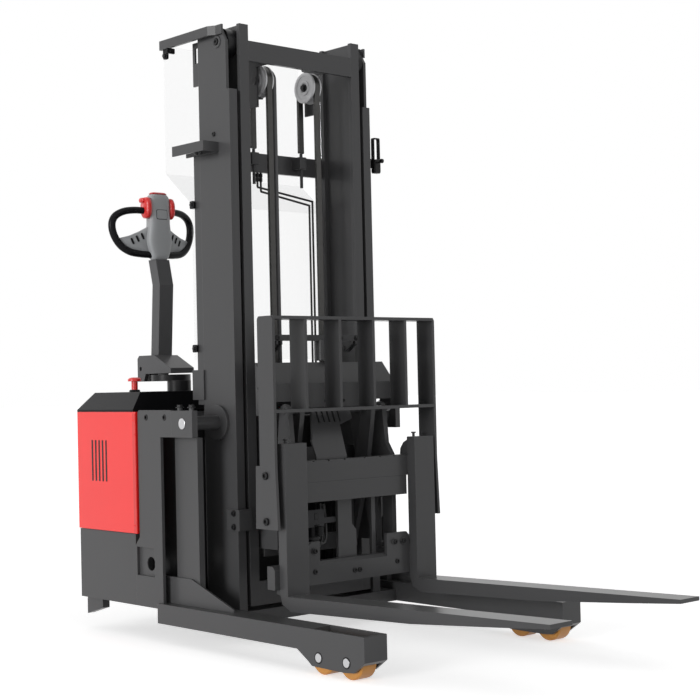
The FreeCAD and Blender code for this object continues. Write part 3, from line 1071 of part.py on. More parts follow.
def build_fork_frame_details():
    """Centre plate, thin upright, valve with its plate, and the slotted guard."""
    low = padded("CentrePlate", "front", "centre_front - centre_thick", "centre_thick", [
        ("centre_left", "lower_top - 20"), ("centre_step", "lower_top - 20"),
        ("centre_step", "centre_high - 12"),
        ("centre_right", "centre_high + 12"), ("centre_right", "apron_low + 20"),
        ("centre_left", "apron_low + 20"),
    ])
    thin = block("Mullion", ("mullion_wide - mullion_half", "mullion_wide + mullion_half"),
                 ("centre_front - centre_thick", "centre_front"), ("lower_top - 20", "apron_low + 20"))
    body = rod("ValveBody", "high", "valve_rad", ("valve_low", "valve_top"), "valve_wide", "valve_ahead")
    plate = block("ValvePlate", ("valve_plate_out", "valve_plate_in"),
                  ("centre_front - 18", "centre_front - 12"),
                  ("valve_top - 16", "valve_plate_top"))
    arm = block("ValveShelf", ("valve_wide - 20", "valve_wide + 20"), ("valve_ahead", "centre_front - 12"),
                ("valve_top - 16", "valve_top - 8"))
    link = block("ValveLink", ("valve_plate_in", "centre_left + 12"),
                 ("centre_front - 18", "centre_front - 12"),
                 ("valve_top - 5", "valve_top + 15"))
    node("reach_valve", join("ReachValve", [body, plate, arm, link]))
    slat = doc.addObject("PartDesign::Body", "Guard")
    sketch = sketch_on(slat, "GuardSketch", "side", "slat_low_left")
    draw_outline(sketch, "side", [
        ("slat_low_ahead", "slat_low - 9"), ("slat_low_ahead + slat_thick", "slat_low - 9"),
        ("slat_low_ahead + slat_thick", "slat_low"), ("slat_top_ahead + slat_thick", "slat_top"),
        ("slat_top_ahead", "slat_top"), ("slat_low_ahead", "slat_low"),
    ])
    pad = slat.newObject("PartDesign::Pad", "GuardPad")
    pad.Profile = sketch
    bind(pad, "Length", "slat_top_right - slat_low_left")
    doc.recompute()
    pocketed(slat, "GuardLeft", "front", [
        ("slat_low_left - 5", "slat_waist_left_high"), ("slat_waist_left", "slat_waist_left_high"),
        ("slat_top_left", "slat_top + 5"), ("slat_low_left - 5", "slat_top + 5"),
    ])
    pocketed(slat, "GuardRight", "front", [
        ("slat_low_right", "slat_low - 20"), ("slat_top_right + 5", "slat_low - 20"),
        ("slat_top_right + 5", "slat_top - slat_shoulder"), ("slat_top_right", "slat_top - slat_shoulder"),
        ("slat_waist_right", "slat_waist_right_high"),
    ])
    for number in range(GUARD_SLOTS):
        left = f"slat_slot_first + {number} * slat_slot_pitch"
        pocketed(slat, f"GuardSlot_{number}", "front", [
            (left, "slat_slot_low"), (f"{left} + slat_slot", "slat_slot_low"),
            (f"{left} + slat_slot", "slat_top + 5"), (left, "slat_top + 5"),
        ])
    node("centre_plates", group("CentrePlates", [low, thin, slat]))


def build_fork(word, side):
    """L-shaped fork: shank with hooks, heel and tapered blade."""
    low, _ = sided(side, "fork_in", "fork_out")
    fork = padded(f"Fork_{word}", "side", low, "fork_out - fork_in", [
        ("bar_front + fork_gap", "fork_top"), ("bar_front + fork_gap", "fork_low + 10"),
        ("bar_front + 12", "fork_low - 28"), ("bar_front + 58", "fork_heel_low"),
        ("fork_mid", "fork_mid_low"), ("fork_far", "fork_far_low"), ("fork_tip", "fork_tip_low"),
        ("fork_tip", "fork_tip_top"), ("fork_front", "fork_low"), ("fork_front", "fork_top"),
    ])
    hook = padded(f"Hook_{word}", "side", sided(side, "hook_in", "hook_out")[0], "hook_out - hook_in", [
        ("bar_front + 6", "fork_top"), ("bar_front - 8", "fork_top"), ("bar_front - 12", "fork_top - 12"),
        ("bar_back + 8", "fork_top - 22"), ("hook_rear + 4", "fork_top - 44"), ("hook_rear", "hook_drop"),
        ("bar_back - fork_gap", "hook_drop"), ("bar_back - fork_gap", "upper_top + fork_gap"),
        ("bar_front + 6", "upper_top + fork_gap"),
    ])
    lug = padded(f"LowLug_{word}", "side", sided(side, "hook_in", "hook_out")[0], "hook_out - hook_in", [
        ("bar_front + 6", "lower_low - fork_gap"), ("hook_lug_rear", "lower_low - fork_gap"),
        ("hook_lug_rear", "hook_lug_low"), ("bar_front + 6", "hook_lug_low - 6"),
    ])
    middle = f"{side} * (fork_in + fork_out) / 2"
    latch = rod(f"Latch_{word}", "high", "latch_rad", ("fork_top - 20", "latch_top"), middle, "latch_ahead")
    cap = rod(f"LatchCap_{word}", "high", "latch_cap_rad", ("latch_top - 5", "latch_top"), middle,
              "latch_ahead")
    node(f"fork_{word}", join(f"ForkWhole_{word}", [fork, hook, lug, latch, cap]))


def build_backrest():
    """Load backrest: flat uprights, two cross flats and the long outer plates."""
    pieces = []
    for word, side in SIDES.items():
        low, _ = sided(side, "rest_wide - rest_thick", "rest_wide")
        plate = padded(f"RestOuter_{word}", "side", low, "rest_thick", [
            ("rest_rear", "rest_top"), ("rest_rear", "rest_flare_high"),
            ("rest_flare_rear", "rest_flare_high"),
            ("rest_flare_rear - 5", "rest_foot"), ("rest_flare_front", "rest_foot"),
            ("rest_front", "rest_flare_high"), ("rest_front", "rest_top"),
        ])
        crown = amount("rest_top") - 1
        pieces.append(rounded(plate, f"RestCrown_{word}", "rest_round",
                              lambda one, two: min(one.z, two.z) > crown and abs(one.x - two.x) > 1))
        for place in ("mid", "near"):
            pieces.append(block(f"RestFlat_{word}_{place}",
                                sided(side, f"rest_{place} - rest_thick / 2",
                                      f"rest_{place} + rest_thick / 2"),
                                ("rest_rear", "rest_front"), ("rest_low", "rest_top")))
    for place in ("top", "low"):
        pieces.append(block(f"RestCross_{place}", ("-rest_wide + rest_thick / 2",
                                                   "rest_wide - rest_thick / 2"),
                            ("rest_rear", "rest_front"), (f"rest_{place} - rest_thick", f"rest_{place}")))
    node("load_backrest", join("LoadBackrest", pieces))


# ---------------------------------------------------------------- drive unit
def build_drive_unit():
    """Steering post, turret disc, motor and the yoke that carries the drive wheel."""
    post = rod("SteerPost", "high", "post_rad", ("motor_top", "post_top"), "column_wide", "column_ahead")
    disc = rod("Turret", "high", "turret_rad", ("turret_low", "turret_top"), "column_wide", "turret_ahead")
    neck = block("TurretNeck", ("column_wide - post_rad", "column_wide + post_rad"),
                 ("turret_ahead", "column_ahead"), ("turret_low", "turret_top"))
    wide = ("column_wide - lug_half", "column_wide + lug_half")
    lug = block("TurretLug", wide, ("hinge_ahead - hinge_eye", "turret_ahead"),
                ("turret_low", "turret_top"))
    cheek = block("TurretCheek", wide, ("hinge_ahead - hinge_eye", "hinge_ahead + hinge_eye"),
                  ("turret_low", "hinge_high"))
    eye = rod("TurretEye", "wide", "hinge_eye", wide, "hinge_ahead", "hinge_high")
    pin = rod("TurretPin", "wide", "hinge_rad", ("hood_left + hood_wall / 2", "hood_right - hood_wall / 2"),
              "hinge_ahead", "hinge_high")
    node("steering_post", join("SteeringPost", [post, disc, neck, lug, cheek, eye, pin]))
    motor = rod("Motor", "high", "motor_rad", ("motor_low", "motor_top"), "column_wide", "column_ahead")
    plates = [block(f"DrivePlate_{number}", span, ("column_ahead - yoke_plate_half",
                                                   "column_ahead + yoke_plate_half"),
                    ("yoke_plate_low", "motor_low + 20")) for number, span in enumerate((
                        ("column_wide - yoke_plate_in - yoke_plate_thick", "column_wide - yoke_plate_in"),
                        ("column_wide + yoke_plate_in", "column_wide + yoke_plate_in + yoke_plate_thick")))]
    bridge = block("DriveBridge", ("column_wide - yoke_plate_in - yoke_plate_thick",
                                   "column_wide + yoke_plate_in + yoke_plate_thick"),
                   ("column_ahead - yoke_plate_half", "column_ahead + yoke_plate_half"),
                   ("motor_low - 20", "motor_low"))
    axle = rod("DriveAxle", "wide", "drive_axle_rad", ("column_wide - yoke_plate_in",
                                                       "column_wide + yoke_plate_in"),
               "column_ahead", "drive_rad")
    node("drive_yoke", join("DriveYoke", [motor, bridge, axle] + plates))
    wheel = turned("DriveWheel", [
        ("-drive_half", "drive_axle_rad + bore_gap"), ("drive_half", "drive_axle_rad + bore_gap"),
        ("drive_half", "drive_rad - 6"), ("drive_half - 6", "drive_rad"),
        ("6 - drive_half", "drive_rad"), ("-drive_half", "drive_rad - 6"),
    ], ("column_wide", "column_ahead", "drive_rad"))
    node("drive_wheel", wheel)


def build_tiller():
    """Tiller: hood over the turret, cranked arm, head, grip loops and controls."""
    shell = padded("TillerShell", "side", "hood_left", "hood_right - hood_left", [
        ("hood_back", "turret_low"), ("hood_back", "hood_top - 12"), ("hood_back + 12", "hood_top"),
        ("stem_knee + 10", "hood_top"), ("hood_nose", "hood_under + 20"), ("hood_nose", "hood_under"),
        ("hinge_ahead + 34", "hood_under"), ("hinge_ahead + 20", "turret_low"),
    ])
    pocketed(shell, "TillerFork", "side", [
        ("hood_back - 5", "turret_low - 5"), ("hinge_ahead + 40", "turret_low - 5"),
        ("hinge_ahead + 40", "hinge_high + hinge_eye + 6"), ("hood_back - 5", "hinge_high + hinge_eye + 6"),
    ], middle="(hood_left + hood_right) / 2", depth="hood_right - hood_left - 4 * hood_wall")
    pocketed(shell, "TillerBore", "side", circles=[("hinge_ahead", "hinge_high", "hinge_rad + bore_gap")])
    stem = padded("TillerStem", "side", "column_wide - stem_half", "2 * stem_half", [
        ("stem_foot - stem_deep / 2", "hood_top - 10"), ("stem_foot + stem_deep / 2", "hood_top - 10"),
        ("stem_knee + stem_deep / 2", "stem_knee_high"), ("stem_head + stem_deep / 2", "stem_head_high"),
        ("stem_head - stem_deep / 2", "stem_head_high"), ("stem_knee - stem_deep / 2", "stem_knee_high"),
    ])
    node("tiller_arm", join("TillerArm", [shell, stem]))


def build_grips():
    """Tiller head: waisted column with wings, thumb controls and the swept grip loops."""
    half = [("0", "0"), ("grip_foot", "14"), ("grip_hip", "grip_hip_up"), ("grip_neck", "grip_neck_up"),
            ("grip_brow", "grip_brow_up"), ("grip_brow - 6", "grip_top_up - 10"),
            ("grip_brow - 16", "grip_top_up")]
    half[0] = ("grip_foot - 10", "0")
    outline = [(f"column_wide + {wide}", f"stem_head_high + {up}") for wide, up in half]
    outline += [(f"column_wide - ({wide})", f"stem_head_high + {up}") for wide, up in reversed(half)]
    column = padded("GripColumn", "front", "stem_head - grip_deep", "2 * grip_deep", outline)
    wings = [swept_back(f"Wing_{word}", side, [
        ("grip_neck - 8", "wing_top_up"), ("loop_wide - loop_bend", "wing_tip_up + 10"),
        ("loop_wide - loop_rad - 10", "wing_tip_up"), ("loop_wide - loop_rad - 10", "wing_tip_up - 12"),
        ("loop_wide - loop_bend", "wing_low_up"), ("grip_neck - 8", "wing_low_up"),
    ]) for word, side in SIDES.items()]
    head = join("TillerHeadWhole", [column] + wings)
    node("tiller_head", head)
    controls = [rod("BellyButton", "high", "button_rad", ("stem_head_high + grip_top_up",
                    "stem_head_high + grip_top_up + button_tall"), "column_wide", "stem_head")]
    loops = []
    for word, side in SIDES.items():
        span = sorted((f"column_wide + {side} * (grip_neck - 5)", f"column_wide + {side} * control_out"),
                      key=amount)
        disc = rod(f"Butterfly_{word}", "wide", "control_rad", span, "stem_head",
                   "stem_head_high + control_up")
        controls.append(cut(f"ButterflySeated_{word}", disc, [head]))
        loops.append(cut(f"LoopSeated_{word}", grip_loop(f"Loop_{word}", side), [head, disc]))
    node("tiller_loops", group("TillerLoops", loops))
    node("tiller_controls", group("TillerControls", controls))


def set_back(body, side):
    """Stand a body at the tiller column, its plane turned back on one side."""
    body.Placement.Rotation = FreeCAD.Rotation(FreeCAD.Vector(0, 0, side), 10)
    bind(body, "Placement.Rotation.Angle", "atan(loop_sweep / loop_wide)")
    bind(body, "Placement.Base.x", "column_wide")
    bind(body, "Placement.Base.y", ALONG.format("stem_head"))
    bind(body, "Placement.Base.z", "stem_head_high")


def swept_back(name, side, points):
    """Flat plate in the plane of one grip loop."""
    body = doc.addObject("PartDesign::Body", name)
    sketch = sketch_on(body, name + "Sketch", "own_front", "0")
    draw_outline(sketch, "own_front", [(f"{side} * ({wide})", up) for wide, up in points])
    pad = body.newObject("PartDesign::Pad", name + "Pad")
    pad.Profile = sketch
    pad.Midplane = True
    bind(pad, "Length", "2 * wing_half")
    set_back(body, side)
    doc.recompute()
    return body


def grip_loop(name, side):
    """Round tube bent out, up and back in again, in a plane swept back from the column."""
    body = doc.addObject("PartDesign::Body", name)
    path = sketch_on(body, name + "Path", "own_front", "0")
    wide = f"{side} * loop_wide"
    run = [
        (f"{side} * 20", "loop_low_up"), (f"{wide} - {side} * loop_bend", "loop_low_up"),
        (f"{wide} - {side} * loop_bend * 0.3", "loop_low_up + loop_bend * 0.3"),
        (wide, "loop_low_up + loop_bend"),
        (wide, "loop_top_up - loop_bend"),
        (f"{wide} - {side} * loop_bend * 0.3", "loop_top_up - loop_bend * 0.3"),
        (f"{wide} - {side} * loop_bend", "loop_top_up"), (f"{side} * (control_out - 12)", "loop_top_up"),
    ]
    draw_outline(path, "own_front", run, closed=False)
    ring = sketch_on(body, name + "Ring", "own_side", f"{side} * 20")
    draw_circles(ring, "own_side", [("0", "loop_low_up", "loop_rad")])
    tube = body.newObject("PartDesign::AdditivePipe", name + "Tube")
    tube.Profile = ring
    tube.Spine = path
    tube.Transition = "Right corner"
    set_back(body, side)
    doc.recompute()
    return body


def build_castor():
    """Stabiliser castor: swivel fork and wheel."""
    stem = rod("CastorStem", "high", "castor_stem_rad", ("castor_top", "castor_head_top"), "castor_wide",
               "castor_ahead")
    crown = block("CastorCrown", ("castor_wide - castor_wheel_half - 14",
                                  "castor_wide + castor_wheel_half + 14"),
                  ("castor_ahead - castor_trail - 25", "castor_ahead + 30"),
                  ("castor_top - 12", "castor_top"))
    legs = []
    for number, sign in enumerate((RIGHT, LEFT)):
        near = "castor_wheel_half + 6"
        far = f"{near} + castor_fork_thick"
        span = (f"castor_wide + {near}", f"castor_wide + {far}") if sign == LEFT else (
            f"castor_wide - ({far})", f"castor_wide - ({near})")
        legs.append(block(f"CastorLeg_{number}", span, ("castor_ahead - castor_trail - 25",
                                                        "castor_ahead - castor_trail + 25"),
                          ("castor_wheel_rad - 18", "castor_top")))
    axle = rod("CastorAxle", "wide", "hinge_rad", ("castor_wide - castor_wheel_half - 14",
                                                   "castor_wide + castor_wheel_half + 14"),
               "castor_ahead - castor_trail", "castor_wheel_rad")
    node("castor_fork", join("CastorFork", [stem, crown, axle] + legs))
    wheel = turned("CastorWheel", [
        ("-castor_wheel_half", "hinge_rad + bore_gap"), ("castor_wheel_half", "hinge_rad + bore_gap"),
        ("castor_wheel_half", "castor_wheel_rad - 5"), ("castor_wheel_half - 5", "castor_wheel_rad"),
        ("5 - castor_wheel_half", "castor_wheel_rad"), ("-castor_wheel_half", "castor_wheel_rad - 5"),
    ], ("castor_wide", "castor_ahead - castor_trail", "castor_wheel_rad"))
    node("castor_wheel", wheel)


# ---------------------------------------------------------------- build and export
for side_word, side_sign in SIDES.items():
    build_leg(side_word, side_sign)
    build_fork(side_word, side_sign)
for label, builder in (("leg_braces", build_brace), ("frame_plates", build_frame_plate),
                       ("mast_clamps", build_clamp), ("outer_rails", build_outer_rail),
                       ("inner_rails", build_inner_rail), ("lift_chains", build_chain)):
    node(label, group(label.title().replace("_", ""), [builder(word, side) for word,
                                                       side in SIDES.items()]))
build_axles()
build_rollers()
build_shafts()
build_skirt()
build_battery()
build_covers()
build_cowl()
build_stop()
build_outer_crossbar()
build_outer_rollers()
build_barrels()
build_mast_brackets()
build_screen()
build_pipes()
build_inner_cross()
build_pulleys()
build_lift_rods()
build_carriage()
build_carriage_hood()
build_arms("reach_arms_outer", "OuterArm", "arm_outer_in", -1, "reach_rear")
build_arms("reach_arms_inner", "InnerArm", "arm_inner_in", 1, "reach_rear + reach_spread")
build_fork_frame()
build_fork_frame_details()
build_backrest()
build_drive_unit()
build_tiller()
build_grips()
build_castor()

doc.recompute()
for item in doc.Objects:
    if "Invalid" in item.State or "Error" in item.State:
        raise RuntimeError(f"{item.Name} failed: {item.State}")
for item in NODES:
    if item.Shape.isNull() or not item.Shape.isValid():
        raise RuntimeError(f"{item.Label} has no valid shape")
    item.Shape.exportStep(f"parts/{item.Label}.step")
    print(f"{item.Label}: {len(item.Shape.Solids)} solids, {item.Shape.Volume / 1000:.0f} cm3")
print(f"{len(NODES)} nodes")
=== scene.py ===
"""Looks of an electric pallet stacker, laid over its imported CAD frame."""
import json
import logging
import math
from dataclasses import dataclass
from enum import Enum

import bmesh
import bpy
import numpy as np
from mathutils import Matrix, Vector


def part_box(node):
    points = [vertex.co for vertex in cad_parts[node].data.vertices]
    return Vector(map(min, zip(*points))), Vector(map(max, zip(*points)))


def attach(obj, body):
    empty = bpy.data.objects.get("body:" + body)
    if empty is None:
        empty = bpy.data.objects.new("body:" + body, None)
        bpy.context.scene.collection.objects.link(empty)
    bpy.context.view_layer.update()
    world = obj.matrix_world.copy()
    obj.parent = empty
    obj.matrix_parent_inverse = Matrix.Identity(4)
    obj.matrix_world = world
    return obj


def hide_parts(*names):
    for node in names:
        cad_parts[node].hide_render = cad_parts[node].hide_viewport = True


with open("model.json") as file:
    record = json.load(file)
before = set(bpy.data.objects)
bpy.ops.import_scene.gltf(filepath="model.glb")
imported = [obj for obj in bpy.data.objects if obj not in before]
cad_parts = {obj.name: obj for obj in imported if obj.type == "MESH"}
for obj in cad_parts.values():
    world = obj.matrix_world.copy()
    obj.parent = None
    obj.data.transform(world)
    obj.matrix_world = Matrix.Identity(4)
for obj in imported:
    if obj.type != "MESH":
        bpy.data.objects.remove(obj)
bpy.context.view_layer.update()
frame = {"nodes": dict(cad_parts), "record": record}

LOG = logging.getLogger("pallet_stacker")
BOTH = (-1, 1)
WHITE = (1.0, 1.0, 1.0, 1.0)
DATUM_Y = 0.583  # plane at the mast that lengths ahead are counted from

Tree = bpy.types.NodeTree
Socket = bpy.types.NodeSocket
Triple = tuple[float, float, float]
Profile = tuple[tuple[float, float], ...]


class Body(str, Enum):
    """CAD bodies that pieces ride on."""

    CHASSIS = "chassis"
    DRIVE = "drive"
    TILLER = "tiller"
    CASTOR_ROLL = "castor_roll"
    INNER_MAST = "inner_mast"
    CARRIAGE = "carriage"
    FORK_CARRIAGE = "fork_carriage"


class Slot(str, Enum):
    """Material slots of the record."""

    FRAME_PAINT = "frame_paint"
    MAST_PAINT = "mast_paint"
    FORK_PAINT = "fork_paint"
    BRIGHT_STEEL = "bright_steel"
    BATTERY_CASE = "battery_case"
    RED_COVER = "red_cover"
    DARK_PANEL = "dark_panel"
    BLACK_PLASTIC = "black_plastic"
    RED_BUTTON = "red_button"
    CLEAR_SHEET = "clear_sheet"
    HOSE_RUBBER = "hose_rubber"
    BLACK_METAL = "black_metal"
    CAST_HOUSING = "cast_housing"
    DRIVE_TYRE = "drive_tyre"
    GREY_PLASTIC = "grey_plastic"
    RED_PLASTIC = "red_plastic"
    ZINC_STEEL = "zinc_steel"
    CASTOR_TYRE = "castor_tyre"
    LOAD_ROLLER = "load_roller"
    PULLEY_STEEL = "pulley_steel"
    CHAIN_STEEL = "chain_steel"
    CHROME_ROD = "chrome_rod"


# ---------------------------------------------------------------- shader tools
def feed(tree: Tree, node: bpy.types.Node, inputs: dict[str | int, object]) -> None:
    """Link or set some inputs of a node.

    Args:
        tree: tree that holds the node.
        node: node to feed.
        inputs: for each input's name or number, the socket to link or the value to set.
    """
    for key, value in inputs.items():
        if isinstance(value, Socket):
            tree.links.new(value, node.inputs[key])
        else:
            node.inputs[key].default_value = value


def add(tree: Tree, kind: str, inputs: dict[str | int, object] | None = None, **traits) -> bpy.types.Node:
    """Add a node to a tree and feed it.

    Args:
        tree: tree that gets the node.
        kind: node type, without its prefix ShaderNode.
        inputs: what feed takes.
        traits: attributes of the node, set before its inputs.

    Returns:
        The node.
    """
    node = tree.nodes.new("ShaderNode" + kind)
    for name, value in traits.items():
        setattr(node, name, value)
    feed(tree, node, inputs or {})
    return node


def product(tree: Tree, one: Socket, two: Socket | float) -> Socket:
    """Product of two values."""
    return add(tree, "Math", {0: one, 1: two}, operation="MULTIPLY").outputs[0]


def noise(tree: Tree, scale: Socket, detail: float, roughness: float = 0.5) -> Socket:
    """Noise in the piece's own coordinates."""
    inputs = {"Vector": add(tree, "TexCoord").outputs["Object"], "Scale": scale, "Detail": detail,
              "Roughness": roughness}
    return add(tree, "TexNoise", inputs).outputs["Fac"]


def mix(tree: Tree, blend: str, factor: Socket | float, first, second) -> Socket:
    """Mix two colours, each given as a socket or as three numbers.

    Args:
        tree: tree of the material.
        blend: blend type of the mix.
        factor: socket or number.
        first: colour A.
        second: colour B.

    Returns:
        The colour output.
    """
    node = add(tree, "Mix", data_type="RGBA", blend_type=blend)
    for label, value in (("Factor", factor), ("A", first), ("B", second)):
        kind = "VALUE" if label == "Factor" else "RGBA"
        place = next(k for k, s in enumerate(node.inputs) if s.name == label and s.type == kind)
        feed(tree, node, {place: (*value, 1.0) if isinstance(value, tuple) else value})
    return next(s for s in node.outputs if s.type == "RGBA")


class ShaderGroups:
    """Node groups that several finishes share, each built once.

    Wear starts where the cosine between rounded and flat normal falls to WEAR_STARTS, and is full at WEAR_FULL.
    """

    FLOAT = "NodeSocketFloat"
    VECTOR = "NodeSocketVector"
    WEAR_STARTS = 0.999
    WEAR_FULL = 0.86

    def __init__(self) -> None:
        """Build the groups."""
        self.grain = self._build_grain()
        self.edges = self._build_edges()
        # One up-facing mask, for settled dust and for the painted shade on top faces.
        self.dust = self._build_dust_and_top_shade()

    @staticmethod
    def _start(name: str, inputs: dict[str, float], outputs: dict[str, str]) -> Tree:
        """Make an empty group with its sockets.

        Args:
            name: name of the group.
            inputs: names and default values of the number inputs.
            outputs: names and socket types of the outputs.

        Returns:
            The node tree, with its input and output nodes named In and Out.
        """
        tree = bpy.data.node_groups.new(name, "ShaderNodeTree")
        for label, value in inputs.items():
            socket = tree.interface.new_socket(label, in_out="INPUT", socket_type=ShaderGroups.FLOAT)
            socket.default_value = value
        for label, kind in outputs.items():
            tree.interface.new_socket(label, in_out="OUTPUT", socket_type=kind)
        tree.nodes.new("NodeGroupInput").name = "In"
        tree.nodes.new("NodeGroupOutput").name = "Out"
        return tree

    def _build_grain(self) -> Tree:
        """Fine orange-peel grain and slow drift of shade and gloss.

        Height is a fine noise at Scale; Shade and Gloss are 1 plus a share of a slow noise.

        Returns:
            The group.
        """
        tree = self._start("SurfaceGrain", {"Scale": 900.0, "Drift": 0.06, "Patch": 3.0},
                           {"Height": self.FLOAT, "Shade": self.FLOAT, "Gloss": self.FLOAT})
        given = tree.nodes["In"].outputs
        results = {"Height": noise(tree, given["Scale"], 3.0)}
        slow = noise(tree, given["Patch"], 5.0, 0.62)
        for label, way in (("Shade", 1.0), ("Gloss", -1.0)):
            centred = add(tree, "Math", {0: slow, 1: 0.5}, operation="SUBTRACT").outputs[0]
            share = product(tree, centred, given["Drift"])
            shifted = add(tree, "Math", {0: share, 1: 2.0 * way, 2: 1.0}, operation="MULTIPLY_ADD")
            results[label] = shifted.outputs[0]
        feed(tree, tree.nodes["Out"], results)
        return tree

    def _build_edges(self) -> Tree:
        """Soft rounded edges and a mask along them, broken up by noise.

        Mask is how far the rounded normal leans off the flat one, times a noise.

        Returns:
            The group.
        """
        tree = self._start("EdgeWear", {"Radius": 0.002, "Breakup": 40.0},
                           {"Normal": self.VECTOR, "Mask": self.FLOAT})
        given = tree.nodes["In"].outputs
        soft = add(tree, "Bevel", {"Radius": given["Radius"]}, samples=6).outputs["Normal"]
        flat = add(tree, "NewGeometry").outputs["Normal"]
        lean = add(tree, "VectorMath", {0: soft, 1: flat}, operation="DOT_PRODUCT").outputs["Value"]
        spread = add(tree, "MapRange", {"Value": lean, "From Min": self.WEAR_STARTS, "From Max": self.WEAR_FULL})
        mask = product(tree, spread.outputs["Result"], noise(tree, given["Breakup"], 4.0))
        feed(tree, tree.nodes["Out"], {"Normal": soft, "Mask": mask})
        return tree

    def _build_dust_and_top_shade(self) -> Tree:
        """Mask of faces that look up, used for settled dust and for the painted shade on top faces.

        Mask is the upward share of the normal, cut at the input Start, times a blotchy noise.

        Returns:
            The group.
        """
        tree = self._start("SettledDustAndTopShade", {"Start": 0.6, "Scale": 14.0, "Amount": 0.1}, {"Mask": self.FLOAT})
        given = tree.nodes["In"].outputs
        facing = add(tree, "SeparateXYZ", {0: add(tree, "NewGeometry").outputs["Normal"]}).outputs["Z"]
        spread = add(tree, "MapRange", {"Value": facing, "From Min": given["Start"]})
        blotch = product(tree, spread.outputs["Result"], noise(tree, given["Scale"], 6.0))
        feed(tree, tree.nodes["Out"], {"Mask": product(tree, blotch, given["Amount"])})
        return tree


# ---------------------------------------------------------------- finishes
@dataclass(frozen=True)
class Finish:
    """One finish: colour, gloss and the strength of each shared effect.

    Colours are linear red, green and blue; lengths are metres.
    """

    colour: Triple
    roughness: float = 0.5
    metallic: float = 0.0
    coat: float = 0.0
    coat_roughness: float = 0.2
    specular: float = 0.5
    grain_scale: float = 900.0
    grain_height: float = 0.00003
    drift: float = 0.06
    patch: float = 3.0
    edge_radius: float = 0.0015
    wear_colour: Triple = (0.3, 0.3, 0.3)
    wear: float = 0.2
    dust: float = 0.08
    dust_colour: Triple = (0.42, 0.40, 0.37)
    brushed: float = 0.0
    scratches: Triple = (600.0, 600.0, 12.0)
    alpha: float = 1.0
    # extra alpha at a glancing angle: a painted reflection on the clear sheet
    rim: float = 0.3
    # painted shade on faces that look up: its strength and its colour
    painted_top_shade: float = 0.0
    painted_top_shade_colour: Triple = (0.006, 0.006, 0.006)

    def build(self, name: str, groups: ShaderGroups) -> bpy.types.Material:
        """Make the material of this finish.

        Args:
            name: name of the material.
            groups: shared node groups.

        Returns:
            The material.
        """
        material = bpy.data.materials.new(name)
        material.use_nodes = True
        tree = material.node_tree
        grain = add(tree, "Group", {"Scale": self.grain_scale, "Drift": self.drift, "Patch": self.patch},
                    node_tree=groups.grain).outputs
        edges = add(tree, "Group", {"Radius": self.edge_radius}, node_tree=groups.edges).outputs
        dust = add(tree, "Group", {"Amount": self.dust}, node_tree=groups.dust).outputs
        colour = mix(tree, "MULTIPLY", 1.0, self.colour, grain["Shade"])
        colour = mix(tree, "MIX", product(tree, edges["Mask"], self.wear), colour, self.wear_colour)
        # Painted shade: faces that look up are darkened towards the shade colour.
        if self.painted_top_shade > 0:
            top_shade_mask = add(tree, "Group", {"Amount": 1.6 * self.painted_top_shade, "Start": 0.1, "Scale": 0.4}, node_tree=groups.dust)
            colour = mix(tree, "MIX", top_shade_mask.outputs["Mask"], colour, self.painted_top_shade_colour)
        height = self._brush(tree, grain["Height"]) if self.brushed > 0 else grain["Height"]
        bump = add(tree, "Bump", {"Distance": self.grain_height, "Height": height, "Normal": edges["Normal"]})
        shader = tree.nodes["Principled BSDF"]
        feed(tree, shader, {
            "Base Color": mix(tree, "MIX", dust["Mask"], colour, self.dust_colour),
            "Roughness": product(tree, grain["Gloss"], self.roughness),
            "Normal": bump.outputs["Normal"],
            "Metallic": self.metallic,
            "Coat Weight": self.coat,
            "Coat Roughness": self.coat_roughness,
            "Specular IOR Level": self.specular,
        })
        if self.alpha < 1.0:
            feed(tree, shader, {"Alpha": self._clear(tree)})
        return material

    def _brush(self, tree: Tree, height: Socket) -> Socket:
        """Add long scratches along Z to the grain: a noise squeezed along X and Y."""
        place = add(tree, "TexCoord").outputs["Object"]
        squeezed = add(tree, "Mapping", {"Vector": place, "Scale": self.scratches}).outputs["Vector"]
        lines = add(tree, "TexNoise", {"Vector": squeezed, "Scale": 1.0}).outputs["Fac"]
        return add(tree, "Math", {0: lines, 1: self.brushed, 2: height}, operation="MULTIPLY_ADD").outputs[0]

    def _clear(self, tree: Tree) -> Socket:
        """See-through sheet: faint white face on, and a painted reflection that grows stronger at a glancing angle and
        on its rim.
        """
        facing = add(tree, "LayerWeight", {"Blend": 0.25}).outputs["Facing"]
        spread = {"Value": facing, "To Min": self.alpha, "To Max": min(1.0, self.alpha + self.rim)}
        return add(tree, "MapRange", spread).outputs["Result"]


